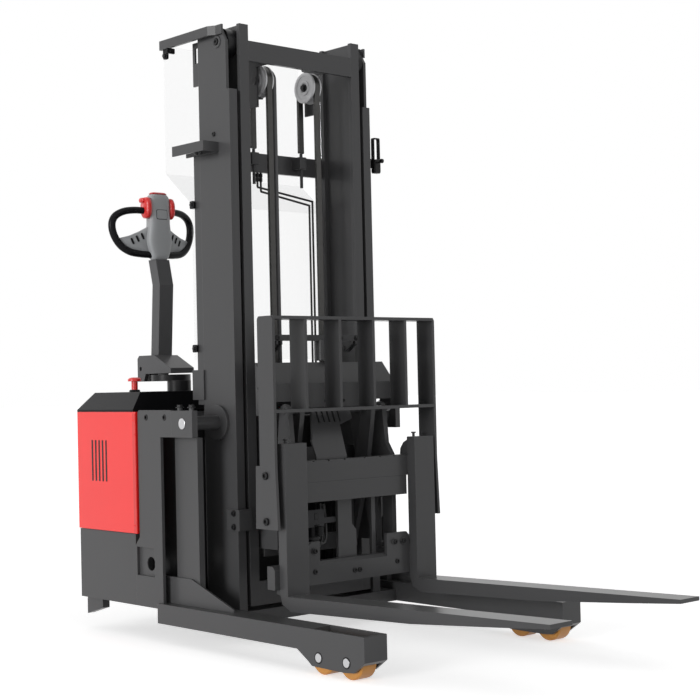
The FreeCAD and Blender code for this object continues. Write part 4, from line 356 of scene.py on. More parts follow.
FINISHES: dict[Slot, Finish] = {
    # Paints and the dark panel get painted shade on faces that look up.
    Slot.FRAME_PAINT: Finish((0.080, 0.080, 0.082), 0.3, specular=0.2, wear=0.16, dust=0.03, painted_top_shade=0.6),
    Slot.MAST_PAINT: Finish((0.072, 0.072, 0.074), 0.28, specular=0.2, wear=0.16, dust=0.03, painted_top_shade=0.5),
    Slot.FORK_PAINT: Finish((0.072, 0.072, 0.074), 0.28, specular=0.2, wear=0.3, dust=0.03, painted_top_shade=0.2),
    Slot.BATTERY_CASE: Finish((0.03, 0.03, 0.031), 0.5, specular=0.2, dust=0.08),
    Slot.DARK_PANEL: Finish((0.085, 0.085, 0.088), 0.36, specular=0.25, wear=0.14, painted_top_shade=0.3),
    Slot.BLACK_METAL: Finish((0.010, 0.010, 0.011), 0.34, specular=0.2),
    Slot.CAST_HOUSING: Finish((0.035, 0.035, 0.037), 0.6, specular=0.2, grain_scale=260.0, grain_height=0.00025),
    Slot.BRIGHT_STEEL: Finish((0.55, 0.55, 0.56), 0.3, metallic=1.0, brushed=0.8, wear=0.0, dust=0.03),
    Slot.ZINC_STEEL: Finish((0.46, 0.47, 0.49), 0.36, metallic=1.0, patch=30.0, drift=0.2, wear=0.0, dust=0.05),
    Slot.CHROME_ROD: Finish((0.62, 0.62, 0.63), 0.14, metallic=1.0, brushed=0.15, wear=0.0, dust=0.0),
    Slot.CHAIN_STEEL: Finish((0.055, 0.054, 0.052), 0.4, metallic=0.7, patch=60.0, drift=0.25, dust=0.02),
    Slot.PULLEY_STEEL: Finish((0.60, 0.60, 0.61), 0.38, metallic=0.2, specular=0.3, wear=0.1, dust=0.02),
    Slot.RED_COVER: Finish((0.95, 0.014, 0.012), 0.3, coat=0.35, coat_roughness=0.12, wear=0.05,
                           wear_colour=(0.9, 0.25, 0.22), dust=0.02, grain_height=0.00001),
    Slot.RED_BUTTON: Finish((0.75, 0.012, 0.01), 0.28, coat=0.3, wear=0.05, wear_colour=(0.9, 0.2, 0.2), dust=0.0),
    Slot.RED_PLASTIC: Finish((0.72, 0.012, 0.01), 0.32, coat=0.2, wear=0.05, wear_colour=(0.9, 0.2, 0.2), dust=0.0),
    Slot.BLACK_PLASTIC: Finish((0.007, 0.007, 0.008), 0.26, specular=0.1, grain_scale=500.0, grain_height=0.00005,
                               dust=0.03, wear=0.1, wear_colour=(0.09, 0.09, 0.09)),
    Slot.GREY_PLASTIC: Finish((0.36, 0.37, 0.38), 0.45, grain_scale=600.0, grain_height=0.00004, wear=0.08,
                              wear_colour=(0.5, 0.5, 0.5), dust=0.0),
    Slot.CLEAR_SHEET: Finish((0.9, 0.92, 0.93), 0.05, specular=0.2, wear=0.25, wear_colour=(0.9, 0.9, 0.9), dust=0.0,
                             grain_height=0.000004, alpha=0.012),
    Slot.HOSE_RUBBER: Finish((0.012, 0.012, 0.012), 0.5, grain_scale=1200.0, wear=0.0, dust=0.0),
    Slot.DRIVE_TYRE: Finish((0.03, 0.03, 0.03), 0.7, grain_scale=400.0, grain_height=0.00015, dust=0.12),
    Slot.CASTOR_TYRE: Finish((0.10, 0.10, 0.10), 0.65, grain_scale=400.0, grain_height=0.0001, dust=0.1),
    Slot.LOAD_ROLLER: Finish((0.62, 0.27, 0.045), 0.42, coat=0.15, grain_scale=350.0, grain_height=0.00006,
                             drift=0.14, patch=20.0, wear=0.15, wear_colour=(0.75, 0.45, 0.15), dust=0.05),
}


# ---------------------------------------------------------------- shapes
@dataclass
class Form:
    """Closed surface: points in metres and faces of four point numbers."""

    points: np.ndarray
    faces: np.ndarray

    def at(self, *offsets: tuple[float, float, float]) -> "Form":
        """Copies of the form, one for each offset: every point plus that offset.

        Args:
            offsets: moves in metres.

        Returns:
            One form that holds all copies.
        """
        moves = np.array(offsets, float).reshape(-1, 3)
        points = (self.points[None] + moves[:, None]).reshape(-1, 3)
        steps = np.arange(len(moves))[:, None, None] * len(self.points)
        return Form(points, (self.faces[None] + steps).reshape(-1, 4))

    def turned(self, axis: int, degrees: float) -> "Form":
        """The form turned about an axis through the origin, by the plane rotation of its other two places.

        Args:
            axis: 0, 1 or 2 for X, Y or Z.
            degrees: angle.

        Returns:
            The turned form.
        """
        one, two = (axis + 1) % 3, (axis + 2) % 3
        cos, sin = math.cos(math.radians(degrees)), math.sin(math.radians(degrees))
        points = self.points.copy()
        points[:, one] = cos * self.points[:, one] - sin * self.points[:, two]
        points[:, two] = sin * self.points[:, one] + cos * self.points[:, two]
        return Form(points, self.faces)

    def mirrored(self) -> "Form":
        """The form with the sign of X changed."""
        return Form(self.points * np.array([-1.0, 1.0, 1.0]), self.faces)

    @staticmethod
    def joined(forms: list["Form"]) -> "Form":
        """Several forms held as one."""
        starts = np.cumsum([0] + [len(form.points) for form in forms[:-1]])
        return Form(np.concatenate([form.points for form in forms]),
                    np.concatenate([form.faces + start for form, start in zip(forms, starts)]))


def grid_faces(rows: int, columns: int) -> np.ndarray:
    """Faces of a grid of points laid row after row, its second parameter closed on itself.

    Args:
        rows: points along the first parameter.
        columns: points round the second parameter.

    Returns:
        An array of faces, four point numbers each.
    """
    row = np.arange(rows - 1)[:, None] * columns
    column = np.arange(columns)[None, :]
    after = (column + 1) % columns
    return np.stack([row + column, row + after, row + columns + after, row + columns + column], -1).reshape(-1, 4)


def lathe(profile: list[tuple[float, float]], axis: int, around: int = 20) -> Form:
    """Surface of revolution: reach along the axis, radius times cosine and sine on the other two.

    Args:
        profile: (reach, radius) rows; it starts and ends on the axis, or comes back to its start.
        axis: 0, 1 or 2 for X, Y or Z.
        around: points round the axis.

    Returns:
        The closed form.
    """
    reach, radius = np.array(profile, float).T
    angle = np.arange(around) * 2 * np.pi / around
    points = np.zeros((len(reach), around, 3))
    points[..., axis] = reach[:, None]
    points[..., (axis + 1) % 3] = radius[:, None] * np.cos(angle)
    points[..., (axis + 2) % 3] = radius[:, None] * np.sin(angle)
    return Form(points.reshape(-1, 3), grid_faces(len(reach), around))


def disc(side: int, axis: int, around: int, rows: Profile) -> Form:
    """Turned solid without a hole: rows of reach and radius, joined to the axis at both ends.

    Args:
        side: 1 or -1, the way that the reach counts.
        axis: 0, 1 or 2 for X, Y or Z.
        around: points round the axis.
        rows: reach and radius.

    Returns:
        The closed form.
    """
    whole = ((rows[0][0], 0.0), *rows, (rows[-1][0], 0.0))
    return lathe([(side * reach, radius) for reach, radius in whole], axis, around)


def ring(side: int, axis: int, around: int, rows: Profile) -> Form:
    """Turned ring: rows of reach and radius that come back to the first; the arguments are those of disc."""
    return lathe([(side * reach, radius) for reach, radius in (*rows, rows[0])], axis, around)


def slab(outline: np.ndarray, low: float, high: float, bevel: float, axis: int) -> Form:
    """Plate: its outline stacked along the axis, drawn in by the bevel at both ends, closed at its middle.

    Args:
        outline: (n, 2) corners in the two planes after the axis, round the plate's middle.
        low: start along the axis.
        high: end along the axis.
        bevel: width of the bevel.
        axis: 0, 1 or 2 for X, Y or Z.

    Returns:
        The closed form.
    """
    flat = np.asarray(outline, float)
    middle = (flat.min(0) + flat.max(0)) / 2
    half = np.abs(flat - middle).max(0)
    shares = np.stack([np.zeros(2), 1 - bevel / half, np.ones(2), np.ones(2), 1 - bevel / half, np.zeros(2)])
    levels = np.array([low, low, low + bevel, high - bevel, high, high])
    points = np.zeros((6, len(flat), 3))
    points[..., axis] = levels[:, None]
    points[..., (axis + 1) % 3] = middle[0] + (flat[None, :, 0] - middle[0]) * shares[:, None, 0]
    points[..., (axis + 2) % 3] = middle[1] + (flat[None, :, 1] - middle[1]) * shares[:, None, 1]
    return Form(points.reshape(-1, 3), grid_faces(6, len(flat)))


def rounded(one: float, two: float, power: float = 6.0, count: int = 24) -> np.ndarray:
    """Superellipse: half sizes times the signed (2 / power) powers of cosine and sine."""
    angle = (np.arange(count) + 0.5) * 2 * np.pi / count
    cos, sin = np.cos(angle), np.sin(angle)
    return np.stack([half * np.sign(wave) * np.abs(wave) ** (2 / power) for half, wave in ((one, cos), (two, sin))], -1)


def hexagon(radius: float) -> np.ndarray:
    """Six corners at a radius."""
    angle = np.arange(6) * np.pi / 3
    return np.stack([radius * np.cos(angle), radius * np.sin(angle)], -1)


def bolt(axis: int, sign: int, radius: float) -> Form:
    """Washer and bevelled hex head that stand off a face: a disc, then a hexagon, both stacked along the axis.

    Args:
        axis: axis of the bolt.
        sign: 1 or -1, the way it stands out.
        radius: corner radius of the head.

    Returns:
        The form, its seat at the origin.
    """
    thin, tall, sink = 0.18 * radius, 0.85 * radius, -0.1 * radius
    washer = disc(sign, axis, 20, ((sink, 1.35 * radius), (thin, 1.3 * radius)))
    low, high = sorted((sign * thin * 0.5, sign * tall))
    return Form.joined([washer, slab(hexagon(radius), low, high, 0.12 * radius, axis)])


def socket_screw(axis: int, sign: int, radius: float) -> Form:
    """Round head with a sunk middle: a profile turned about the axis that dips inside its rim."""
    shares = ((-0.1, 1.0), (0.45, 1.0), (0.6, 0.85), (0.6, 0.5), (0.15, 0.42))
    return disc(sign, axis, 18, tuple((reach * radius, spread * radius) for reach, spread in shares))


def smooth_path(knots: list[tuple[float, float, float]], between: int = 8) -> np.ndarray:
    """Catmull-Rom curve through knots: each span is the cubic of its four nearest knots.

    Args:
        knots: points to pass through.
        between: points on each span.

    Returns:
        The path.
    """
    base = np.array(knots, float)
    padded = np.concatenate([[2 * base[0] - base[1]], base, [2 * base[-1] - base[-2]]])
    share = (np.arange(between) / between)[None, :, None]
    one, two, three, four = (padded[k:len(base) - 1 + k, None] for k in range(4))
    curve = 0.5 * (2 * two + (three - one) * share + (2 * one - 5 * two + 4 * three - four) * share ** 2
                   + (3 * two - one - 3 * three + four) * share ** 3)
    return np.concatenate([curve.reshape(-1, 3), base[-1:]])


def tube(path: np.ndarray, radius: float | np.ndarray, around: int = 12) -> Form:
    """Round tube: circles of the radius square to the path, the first and last drawn to a point.

    Args:
        path: centre line.
        radius: one radius, or one for each point of the path.
        around: points round the tube.

    Returns:
        The closed form.
    """
    ahead = np.gradient(path, axis=0)
    ahead /= np.linalg.norm(ahead, axis=1, keepdims=True)
    guide = np.eye(3)[np.argmin(np.abs(ahead).max(0))]
    side = np.cross(ahead, guide)
    side /= np.linalg.norm(side, axis=1, keepdims=True)
    over = np.cross(ahead, side)
    sizes = np.broadcast_to(np.asarray(radius, float), (len(path),))
    angle = np.arange(around) * 2 * np.pi / around
    ring = side[:, None] * np.cos(angle)[None, :, None] + over[:, None] * np.sin(angle)[None, :, None]
    body = path[:, None] + ring * sizes[:, None, None]
    ends = [np.repeat(path[k][None, None], around, 1) for k in (0, -1)]
    points = np.concatenate([ends[0], body, ends[1]])
    return Form(points.reshape(-1, 3), grid_faces(len(path) + 2, around))


def put(name: str, form: Form | list[Form], slot: Slot, body: Body, crease: float = 32.0) -> bpy.types.Object:
    """Make a piece from a form and let it ride on a body.

    Args:
        name: name of the piece.
        form: the surface, or several that make one piece.
        slot: finish.
        body: body that it rides on.
        crease: angle in degrees over which an edge stays sharp.

    Returns:
        The piece.
    """
    whole = Form.joined(form) if isinstance(form, list) else form
    mesh = bpy.data.meshes.new(name)
    mesh.from_pydata(whole.points.tolist(), [], whole.faces.tolist())
    work = bmesh.new()
    work.from_mesh(mesh)
    bmesh.ops.remove_doubles(work, verts=work.verts, dist=1e-6)
    bmesh.ops.recalc_face_normals(work, faces=work.faces)
    work.to_mesh(mesh)
    work.free()
    mesh.polygons.foreach_set("use_smooth", np.ones(len(mesh.polygons), bool))
    mesh.set_sharp_from_angle(angle=math.radians(crease))
    piece = bpy.data.objects.new(name, mesh)
    bpy.context.scene.collection.objects.link(piece)
    piece.data.materials.append(Dresser.materials[slot])
    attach(piece, body.value)
    LOG.info("%s: %d faces", name, len(mesh.polygons))
    return piece


def span(node: str) -> tuple[np.ndarray, np.ndarray]:
    """Lowest and highest corner of a CAD node at rest, in metres."""
    low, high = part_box(node)
    return np.array(low), np.array(high)


def middle_of(node: str) -> np.ndarray:
    """Middle of a CAD node's box at rest, in metres."""
    low, high = span(node)
    return (low + high) / 2


def ends_of(node: str) -> dict[int, float]:
    """Lowest and highest X of a CAD node at rest, by side."""
    low, high = span(node)
    return {-1: low[0], 1: high[0]}


class Dresser:
    """Gives every CAD node the material of its slot."""

    materials: dict[Slot, bpy.types.Material] = {}

    @classmethod
    def prepare(cls) -> None:
        """Build the shared groups and one material for each slot."""
        groups = ShaderGroups()
        for slot, finish in FINISHES.items():
            cls.materials[slot] = finish.build("look_" + slot.value, groups)

    @classmethod
    def dress(cls) -> None:
        """Assign materials to the CAD nodes by the record's slots."""
        slots = {part["node"]: part["material_slot"] for part in frame["record"]["subparts"]}
        for name, item in frame["nodes"].items():
            material = cls.materials[Slot(slots[name])]
            for holder in item.material_slots:
                holder.material = material
        LOG.info("dressed %d CAD nodes", len(frame["nodes"]))


# ---------------------------------------------------------------- studio
@dataclass
class Studio:
    """Floor, lamps, world and camera; a lamp is its name, way, level and spread in degrees."""

    camera_place: Triple = (-3.571, -3.875, 0.9176)
    camera_ahead: Triple = (0.6687, 0.7432, 0.0209)
    camera_up: Triple = (0.0028, -0.0306, 0.9995)
    lens: float = 77.14
    sensor: float = 36.0
    world_level: float = 0.34
    floor_half: float = 60.0
    floor_grey: float = 0.9
    floor_roughness: float = 0.9
    floor_specular: float = 0.1
    floor_glow: float = 0.57
    lamps: tuple[tuple[str, Triple, float, float], ...] = (
        ("key", (0.97, 0.06, -0.18), 1.57, 26),
        ("front", (-0.1, 0.8, -0.6), 0.45, 60),
        ("rear", (0.1, -0.85, -0.5), 0.5, 60),
    )

    def build(self) -> None:
        """Make the whole studio."""
        self._camera()
        self._world()
        self._floor()
        self._lamps()
        bpy.context.scene.view_settings.view_transform = "Standard"
        LOG.info("studio ready")

    @staticmethod
    def _hold(name: str, data: bpy.types.ID) -> bpy.types.Object:
        """Put data into the scene as an object of that name."""
        item = bpy.data.objects.new(name, data)
        bpy.context.scene.collection.objects.link(item)
        return item

    def _camera(self) -> None:
        """Camera from its place, its way ahead and its way up."""
        ahead = Vector(self.camera_ahead).normalized()
        right = ahead.cross(Vector(self.camera_up)).normalized()
        up = right.cross(ahead)
        data = bpy.data.cameras.new("studio_camera")
        data.lens, data.sensor_width = self.lens, self.sensor
        camera = self._hold("studio_camera", data)
        turn = Matrix((right, up, -ahead)).transposed().to_4x4()
        camera.matrix_world = Matrix.Translation(Vector(self.camera_place)) @ turn
        bpy.context.scene.camera = camera

    def _world(self) -> None:
        """Even grey world that camera, glossy and transmission rays see as white."""
        world = bpy.data.worlds.new("studio_world")
        bpy.context.scene.world = world
        world.use_nodes = True
        tree = world.node_tree
        base = tree.nodes["Background"]
        feed(tree, base, {"Color": WHITE, "Strength": self.world_level})
        white = add(tree, "Background", {"Color": WHITE, "Strength": 1.0})
        both = add(tree, "MixShader", {0: self._seen(tree), 1: base.outputs[0], 2: white.outputs[0]})
        feed(tree, tree.nodes["World Output"], {"Surface": both.outputs[0]})

    @staticmethod
    def _seen(tree: Tree) -> Socket:
        """One where a ray comes from the camera, a gloss or glass, else zero."""
        rays = add(tree, "LightPath").outputs
        total = rays["Is Camera Ray"]
        for label in ("Is Glossy Ray", "Is Transmission Ray"):
            total = add(tree, "Math", {0: total, 1: rays[label]}, operation="MAXIMUM").outputs[0]
        return total

    def _floor(self) -> None:
        """Pale floor that keeps the shadow and is white where it is lit."""
        mesh = bpy.data.meshes.new("floor")
        reach = self.floor_half
        corners = [(-reach, -reach, 0), (reach, -reach, 0), (reach, reach, 0), (-reach, reach, 0)]
        mesh.from_pydata(corners, [], [(0, 1, 2, 3)])
        floor = self._hold("floor", mesh)
        material = bpy.data.materials.new("floor_white")
        material.use_nodes = True
        tree = material.node_tree
        feed(tree, tree.nodes["Principled BSDF"], {
            "Base Color": (*[self.floor_grey] * 3, 1.0),
            "Roughness": self.floor_roughness,
            "Specular IOR Level": self.floor_specular,
            "Emission Color": WHITE,
            "Emission Strength": product(tree, self._seen(tree), self.floor_glow),
        })
        mesh.materials.append(material)

    def _lamps(self) -> None:
        """Three wide suns: a key from the near side, and weaker ones from the front and the rear."""
        for name, way, level, spread in self.lamps:
            data = bpy.data.lights.new(name, "SUN")
            data.energy, data.angle = level, math.radians(spread)
            lamp = self._hold(name, data)
            lamp.rotation_mode = "QUATERNION"
            lamp.rotation_quaternion = Vector(way).to_track_quat("-Z", "Y")


# ---------------------------------------------------------------- sub-assemblies
@dataclass
class LeafChains:
    """Link plates and pin heads on both lift chains."""

    pitch: float = 0.0159
    half: float = 0.006
    plate: float = 0.0066
    lamina: float = 0.0026
    spread: float = 0.0102
    back_run: float = 0.235
    foot_gap: float = 0.02
    pulley_half: float = 0.018
    head: Profile = ((0.0098, 0.0026), (0.0124, 0.0022))

    def build(self) -> None:
        """Place plates and pins along each chain's way over its pulley."""
        chain_low, _ = span("lift_chains")
        middle = middle_of("chain_pulleys")
        wide = ends_of("chain_pulleys")[1] - self.pulley_half
        radius = middle[1] - chain_low[1] - self.half
        front_run = middle[2] - chain_low[2] - self.foot_gap
        count = int((self.back_run + math.pi * radius + front_run) / self.pitch)
        pins = self._way(np.arange(count + 1) * self.pitch, radius, middle)
        laminas = zip(np.linspace(-self.spread, self.spread, 5), (0, 1, 0, 1, 0))
        plates = Form.joined([self._plates(pins, x, phase) for x, phase in laminas])
        heads = Form.joined([disc(side, 0, 8, self.head).at(*pins) for side in BOTH])
        for word, side in (("right", -1), ("left", 1)):
            move = (side * wide, 0.0, 0.0)
            put(f"chain_plates_{word}", plates.at(move), Slot.CHAIN_STEEL, Body.INNER_MAST)
            put(f"chain_pins_{word}", heads.at(move), Slot.BLACK_METAL, Body.INNER_MAST)

    def _way(self, gone: np.ndarray, radius: float, middle: np.ndarray) -> np.ndarray:
        """Pin places at each length gone: up the back run, round half a circle, down the front run.

        Args:
            gone: lengths along the way.
            radius: radius of the half circle.
            middle: centre of the pulleys.

        Returns:
            Points with X zero.
        """
        turn = np.clip((gone - self.back_run) / radius, 0, np.pi)
        rise = np.minimum(gone, self.back_run) - self.back_run
        drop = np.maximum(gone - self.back_run - np.pi * radius, 0)
        return np.stack([np.zeros_like(gone), middle[1] + radius * np.cos(turn),
                         middle[2] + radius * np.sin(turn) + rise - drop], -1)

    def _plates(self, pins: np.ndarray, x: float, phase: int) -> Form:
        """Waisted oval plates, one between each second pair of pins: an ellipse pinched where its sine is large.

        Args:
            pins: pin places.
            x: place of the lamina across the chain.
            phase: 0 or 1, the pin that the first plate starts from.

        Returns:
            The plates of one lamina.
        """
        around = 12
        angle = np.arange(around) * 2 * np.pi / around
        along = (self.pitch / 2 + self.plate) * np.cos(angle)
        across = self.plate * np.sin(angle) * (1.15 - 0.35 * np.sin(angle) ** 4)
        first, last = pins[phase:-1:2], pins[phase + 1::2]
        pairs = min(len(first), len(last))
        first, last = first[:pairs], last[:pairs]
        ahead = (last - first) / np.linalg.norm(last - first, axis=1, keepdims=True)
        aside = np.stack([ahead[:, 0], -ahead[:, 2], ahead[:, 1]], -1)
        shares = np.array([0.0, 1.0, 1.0, 0.0])[None, :, None, None]
        levels = np.array([-0.5, -0.5, 0.5, 0.5])[None, :, None] * self.lamina + x
        flat = ahead[:, None, None] * along[None, None, :, None] + aside[:, None, None] * across[None, None, :, None]
        points = ((first + last) / 2)[:, None, None] + flat * shares
        points[..., 0] += levels
        steps = np.arange(pairs)[:, None, None] * 4 * around
        return Form(points.reshape(-1, 3), (grid_faces(4, around)[None] + steps).reshape(-1, 4))


@dataclass
class MastHose:
    """Hose over a small sheave beside the near chain, and the sheave's two flanges."""

    radius: float = 0.0085
    out: float = -0.083
    loop: float = 0.040
    tail: float = 0.035
    straight: float = 0.01
    foot_gap: float = 0.02
    nut: float = 0.0105
    pin: Profile = ((-0.016, 0.011), (0.012, 0.011), (0.014, 0.009))
    sheave: Profile = ((-0.009, 0.010), (-0.009, 0.040), (-0.0075, 0.041), (-0.0065, 0.034), (0.0065, 0.034),
                       (0.0075, 0.041), (0.009, 0.040), (0.009, 0.010))

    def build(self) -> None:
        """Sweep the hose along the chain's way, and turn the sheave."""
        _, y, z = middle_of("chain_pulleys")
        chain_low, _ = span("lift_chains")
        turn = np.linspace(0, np.pi, 14)
        path = np.concatenate([
            self._run(y + self.loop, np.linspace(z - self.tail, z - self.straight, 6)),
            self._run(y + self.loop * np.cos(turn), z + self.loop * np.sin(turn)),
            self._run(y - self.loop, np.linspace(z - self.straight, chain_low[2] + self.foot_gap, 12)),
        ])
        put("mast_hose", tube(path, self.radius, 14), Slot.DARK_PANEL, Body.INNER_MAST)
        foot = slab(hexagon(self.nut), -0.056, -0.034, 0.001, 2).at((self.out, y + self.loop, z))
        turned = Form.joined([ring(1, 0, 36, self.sheave), disc(1, 0, 24, self.pin)])
        put("hose_sheave", [turned.at((self.out, y, z)), foot], Slot.BLACK_METAL, Body.INNER_MAST)

    def _run(self, y: float | np.ndarray, z: np.ndarray) -> np.ndarray:
        """Points at the hose's place across, from their Y and Z."""
        return np.stack(np.broadcast_arrays(self.out, y, z), -1)


@dataclass
class PulleyFaces:
    """Raised rims, hubs and bearing nuts on both faces of the chain pulleys."""

    half: float = 0.018
    nut: float = 0.0105
    nut_out: float = 0.004
    rim: Profile = ((-0.001, 0.043), (0.0016, 0.0445), (0.0022, 0.047), (0.0022, 0.0555), (0.0012, 0.0572),
                    (-0.001, 0.0572))
    hub: Profile = ((-0.001, 0.017), (0.0025, 0.018), (0.003, 0.02), (0.003, 0.026), (0.0015, 0.028),
                    (-0.001, 0.028))

    def build(self) -> None:
        """Turn the rings and place them on each face."""
        _, y, z = middle_of("chain_pulleys")
        wide = ends_of("chain_pulleys")[1] - self.half
        rims, nuts = [], []
        for side in BOTH:
            for face in BOTH:
                x = side * wide + face * self.half
                rims += [ring(face, 0, 40, self.rim).at((x, y, z)), ring(face, 0, 30, self.hub).at((x, y, z))]
                if face != side:
                    nuts.append(bolt(0, face, self.nut).at((x + face * self.nut_out, y, z)))
        put("pulley_rims", rims, Slot.PULLEY_STEEL, Body.INNER_MAST)
        put("pulley_nuts", nuts, Slot.BLACK_METAL, Body.INNER_MAST)


@dataclass
class MastTrim:
    """Small hardware of the outer mast: roller bosses, bolts, clips, glands and the switch lever."""

    boss: Profile = ((-0.001, 0.013), (0.003, 0.0135), (0.004, 0.016), (0.004, 0.021), (0.002, 0.0235),
                     (-0.001, 0.0235))
    boss_out: float = 0.338
    boss_drop: float = 0.059
    # place of the black disc painted as the shade in a rail hole
    hole_out: float = 0.3375
    hole_back: float = 0.0275
    hole_drop: float = 0.386
    clip_out: float = 0.345
    clip_ahead: float = 0.026
    clip_heights: tuple[float, float] = (1.049, 1.572)
    hanger: Triple = (0.352, 0.688, 2.150)
    hook_ahead: float = 0.036
    gland: float = 0.0078
    gland_neck: Profile = ((-0.034, 0.0055), (-0.030, 0.0068), (-0.020, 0.0068), (-0.016, 0.0055))
    pipe: float = 0.004
    pipe_pitch: float = 0.016
    strip: float = 0.004
    lever: Profile = ((-0.006, 0.006), (-0.004, 0.0085), (0.004, 0.0085), (0.006, 0.006))
    shaft_end: Profile = ((0.0, 0.0195), (0.0008, 0.0185), (0.0012, 0.017))
    shaft_ahead: float = 0.1576
    shaft_height: float = 0.782
    tie_height: float = 0.438
    bracket_height: float = 1.747
    screw_height: float = 0.804

    def build(self) -> None:
        """Make each group of hardware from the boxes of the nodes that carry it."""
        self._bosses()
        self._screen_clips()
        self._glands()
        self._switch()
        self._ties()

    def _bosses(self) -> None:
        """Axle bosses of the upper guide rollers with screws in them, and black discs lower down the rails painted as
        the shade in the rail holes.
        """
        top, y = span("outer_rails")[1][2], middle_of("outer_guide_rollers")[1]
        bosses, screws_and_hole_shade = [], []
        for side in BOTH:
            seat = (side * self.boss_out, y, top - self.boss_drop)
            low_seat = (side * self.hole_out, y + self.hole_back, top - self.hole_drop)
            bosses.append(ring(side, 0, 28, self.boss).at(seat))
            # The small disc at low_seat is painted shade in the rail hole; the larger one is the boss's screw.
            screws_and_hole_shade += [socket_screw(0, side, 0.0115).at(seat), socket_screw(0, side, 0.0085).at(low_seat)]
        put("roller_bosses", bosses, Slot.MAST_PAINT, Body.CHASSIS)
        put("rail_screws_and_hole_shade", screws_and_hole_shade, Slot.BLACK_METAL, Body.CHASSIS)

    def _screen_clips(self) -> None:
        """Black clips that hold the clear screen to its bars, and the hangers under the top bars."""
        front = span("screen_bars")[1][1] - self.clip_ahead
        clip = slab(rounded(0.013, 0.014), -0.002, 0.0055, 0.001, 0)
        hanger = slab(rounded(0.0125, 0.0225), -0.005, 0.005, 0.001, 0)
        hook = slab(rounded(0.006, 0.010), -0.022, 0.012, 0.001, 0)
        clips, knobs = [], []
        for side in BOTH:
            for height in self.clip_heights:
                clips.append((clip if side > 0 else clip.mirrored()).at((side * self.clip_out, front, height)))
                knobs.append(bolt(0, side, 0.0075).at((side * (self.clip_out + 0.005), front, height)))
            x, y, z = side * self.hanger[0], *self.hanger[1:]
            clips += [hanger.at((x, y, z)), hook.at((x, y - self.hook_ahead, z + 0.002))]
            knobs += [bolt(0, side, 0.009).at((x + side * 0.004, y, z - 0.010)),
                      bolt(0, side, 0.006).at((x + side * 0.010, y - self.hook_ahead, z))]
        put("screen_clips", clips, Slot.BLACK_PLASTIC, Body.CHASSIS)
        put("screen_knobs", knobs, Slot.BLACK_METAL, Body.CHASSIS)

    def _glands(self) -> None:
        """Hex glands and their necks where the pipes leave the crossbar."""
        low, high = span("hydraulic_pipes")
        gland = Form.joined([slab(hexagon(self.gland), -0.016, -0.002, 0.001, 2), disc(1, 2, 20, self.gland_neck)])
        seats = [(low[0] + self.pipe + k * self.pipe_pitch, (low[1] + high[1]) / 2, high[2]) for k in range(2)]
        put("pipe_glands", gland.at(*seats), Slot.BLACK_METAL, Body.CHASSIS)

    def _switch(self) -> None:
        """Height switch: an open bracket bent from strip, a switch block low in it, and a rod with two rollers."""
        low, high = span("height_switch")
        half, tall = (high[0] - low[0]) / 2, (high[2] - low[2]) / 2
        outer = rounded(tall, half, 14.0)
        inner = rounded(tall - self.strip, half - self.strip, 14.0)
        rims = [np.insert(rim, 1, place, 1) for rim, place in
                ((outer, -0.008), (outer, 0.008), (inner, 0.008), (inner, -0.008))]
        loop = Form(np.concatenate(rims)[:, [2, 1, 0]], grid_faces(5, len(outer)) % (4 * len(outer)))
        block = slab(rounded(0.026, half - 0.002, 9.0), -0.013, 0.012, 0.0015, 1).at((0, 0, 0.028 - tall))
        rod = smooth_path([(0, -0.034, 0.045 - tall), (0, -0.010, 0.041 - tall), (0, 0.012, 0.042 - tall),
                           (0.003, 0.034, 0.047 - tall)], 5)
        rollers = disc(1, 0, 20, self.lever).at(rod[0], rod[-1])
        whole = Form.joined([loop, block, tube(rod, 0.0036), rollers])
        switch = put("switch_bracket", whole.at(tuple((low + high) / 2)), Slot.BLACK_METAL, Body.CHASSIS)
        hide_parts("height_switch")

    def _ties(self) -> None:
        """Hex bolts on the foot ties, mid brackets and clamps, screws on the frame plates, and the shaft ends."""
        rail_low, rail_high = span("outer_rails")
        clamp = span("mast_clamps")[1]
        heads, sockets, ends = [], [], []
        for side in BOTH:
            heads += [bolt(0, side, 0.009).at((side * rail_high[0], rail_low[1] + 0.030, self.tie_height + lift))
                      for lift in (-0.024, 0.024)]
            heads += [bolt(2, -1, 0.007).at((side * 0.385, y, self.bracket_height)) for y in (0.466, 0.44)]
            heads += [bolt(2, 1, 0.011).at((side * (clamp[0] - 0.012), DATUM_Y - ahead, clamp[2] - 0.006))
                      for ahead in (0.130, 0.200)]
            seats = [(side * (clamp[0] - 0.006), DATUM_Y - ahead, self.screw_height) for ahead in (-0.064, 0.050)]
            sockets.append(socket_screw(0, side, 0.0125).at(*seats))
            ends.append(disc(side, 0, 32, self.shaft_end).at(
                (side * (clamp[0] + 0.001), DATUM_Y - self.shaft_ahead, self.shaft_height)))
        put("frame_bolts", heads, Slot.BLACK_METAL, Body.CHASSIS)
        put("plate_screws", sockets, Slot.BLACK_METAL, Body.CHASSIS)
        put("shaft_ends", ends, Slot.BRIGHT_STEEL, Body.CHASSIS)


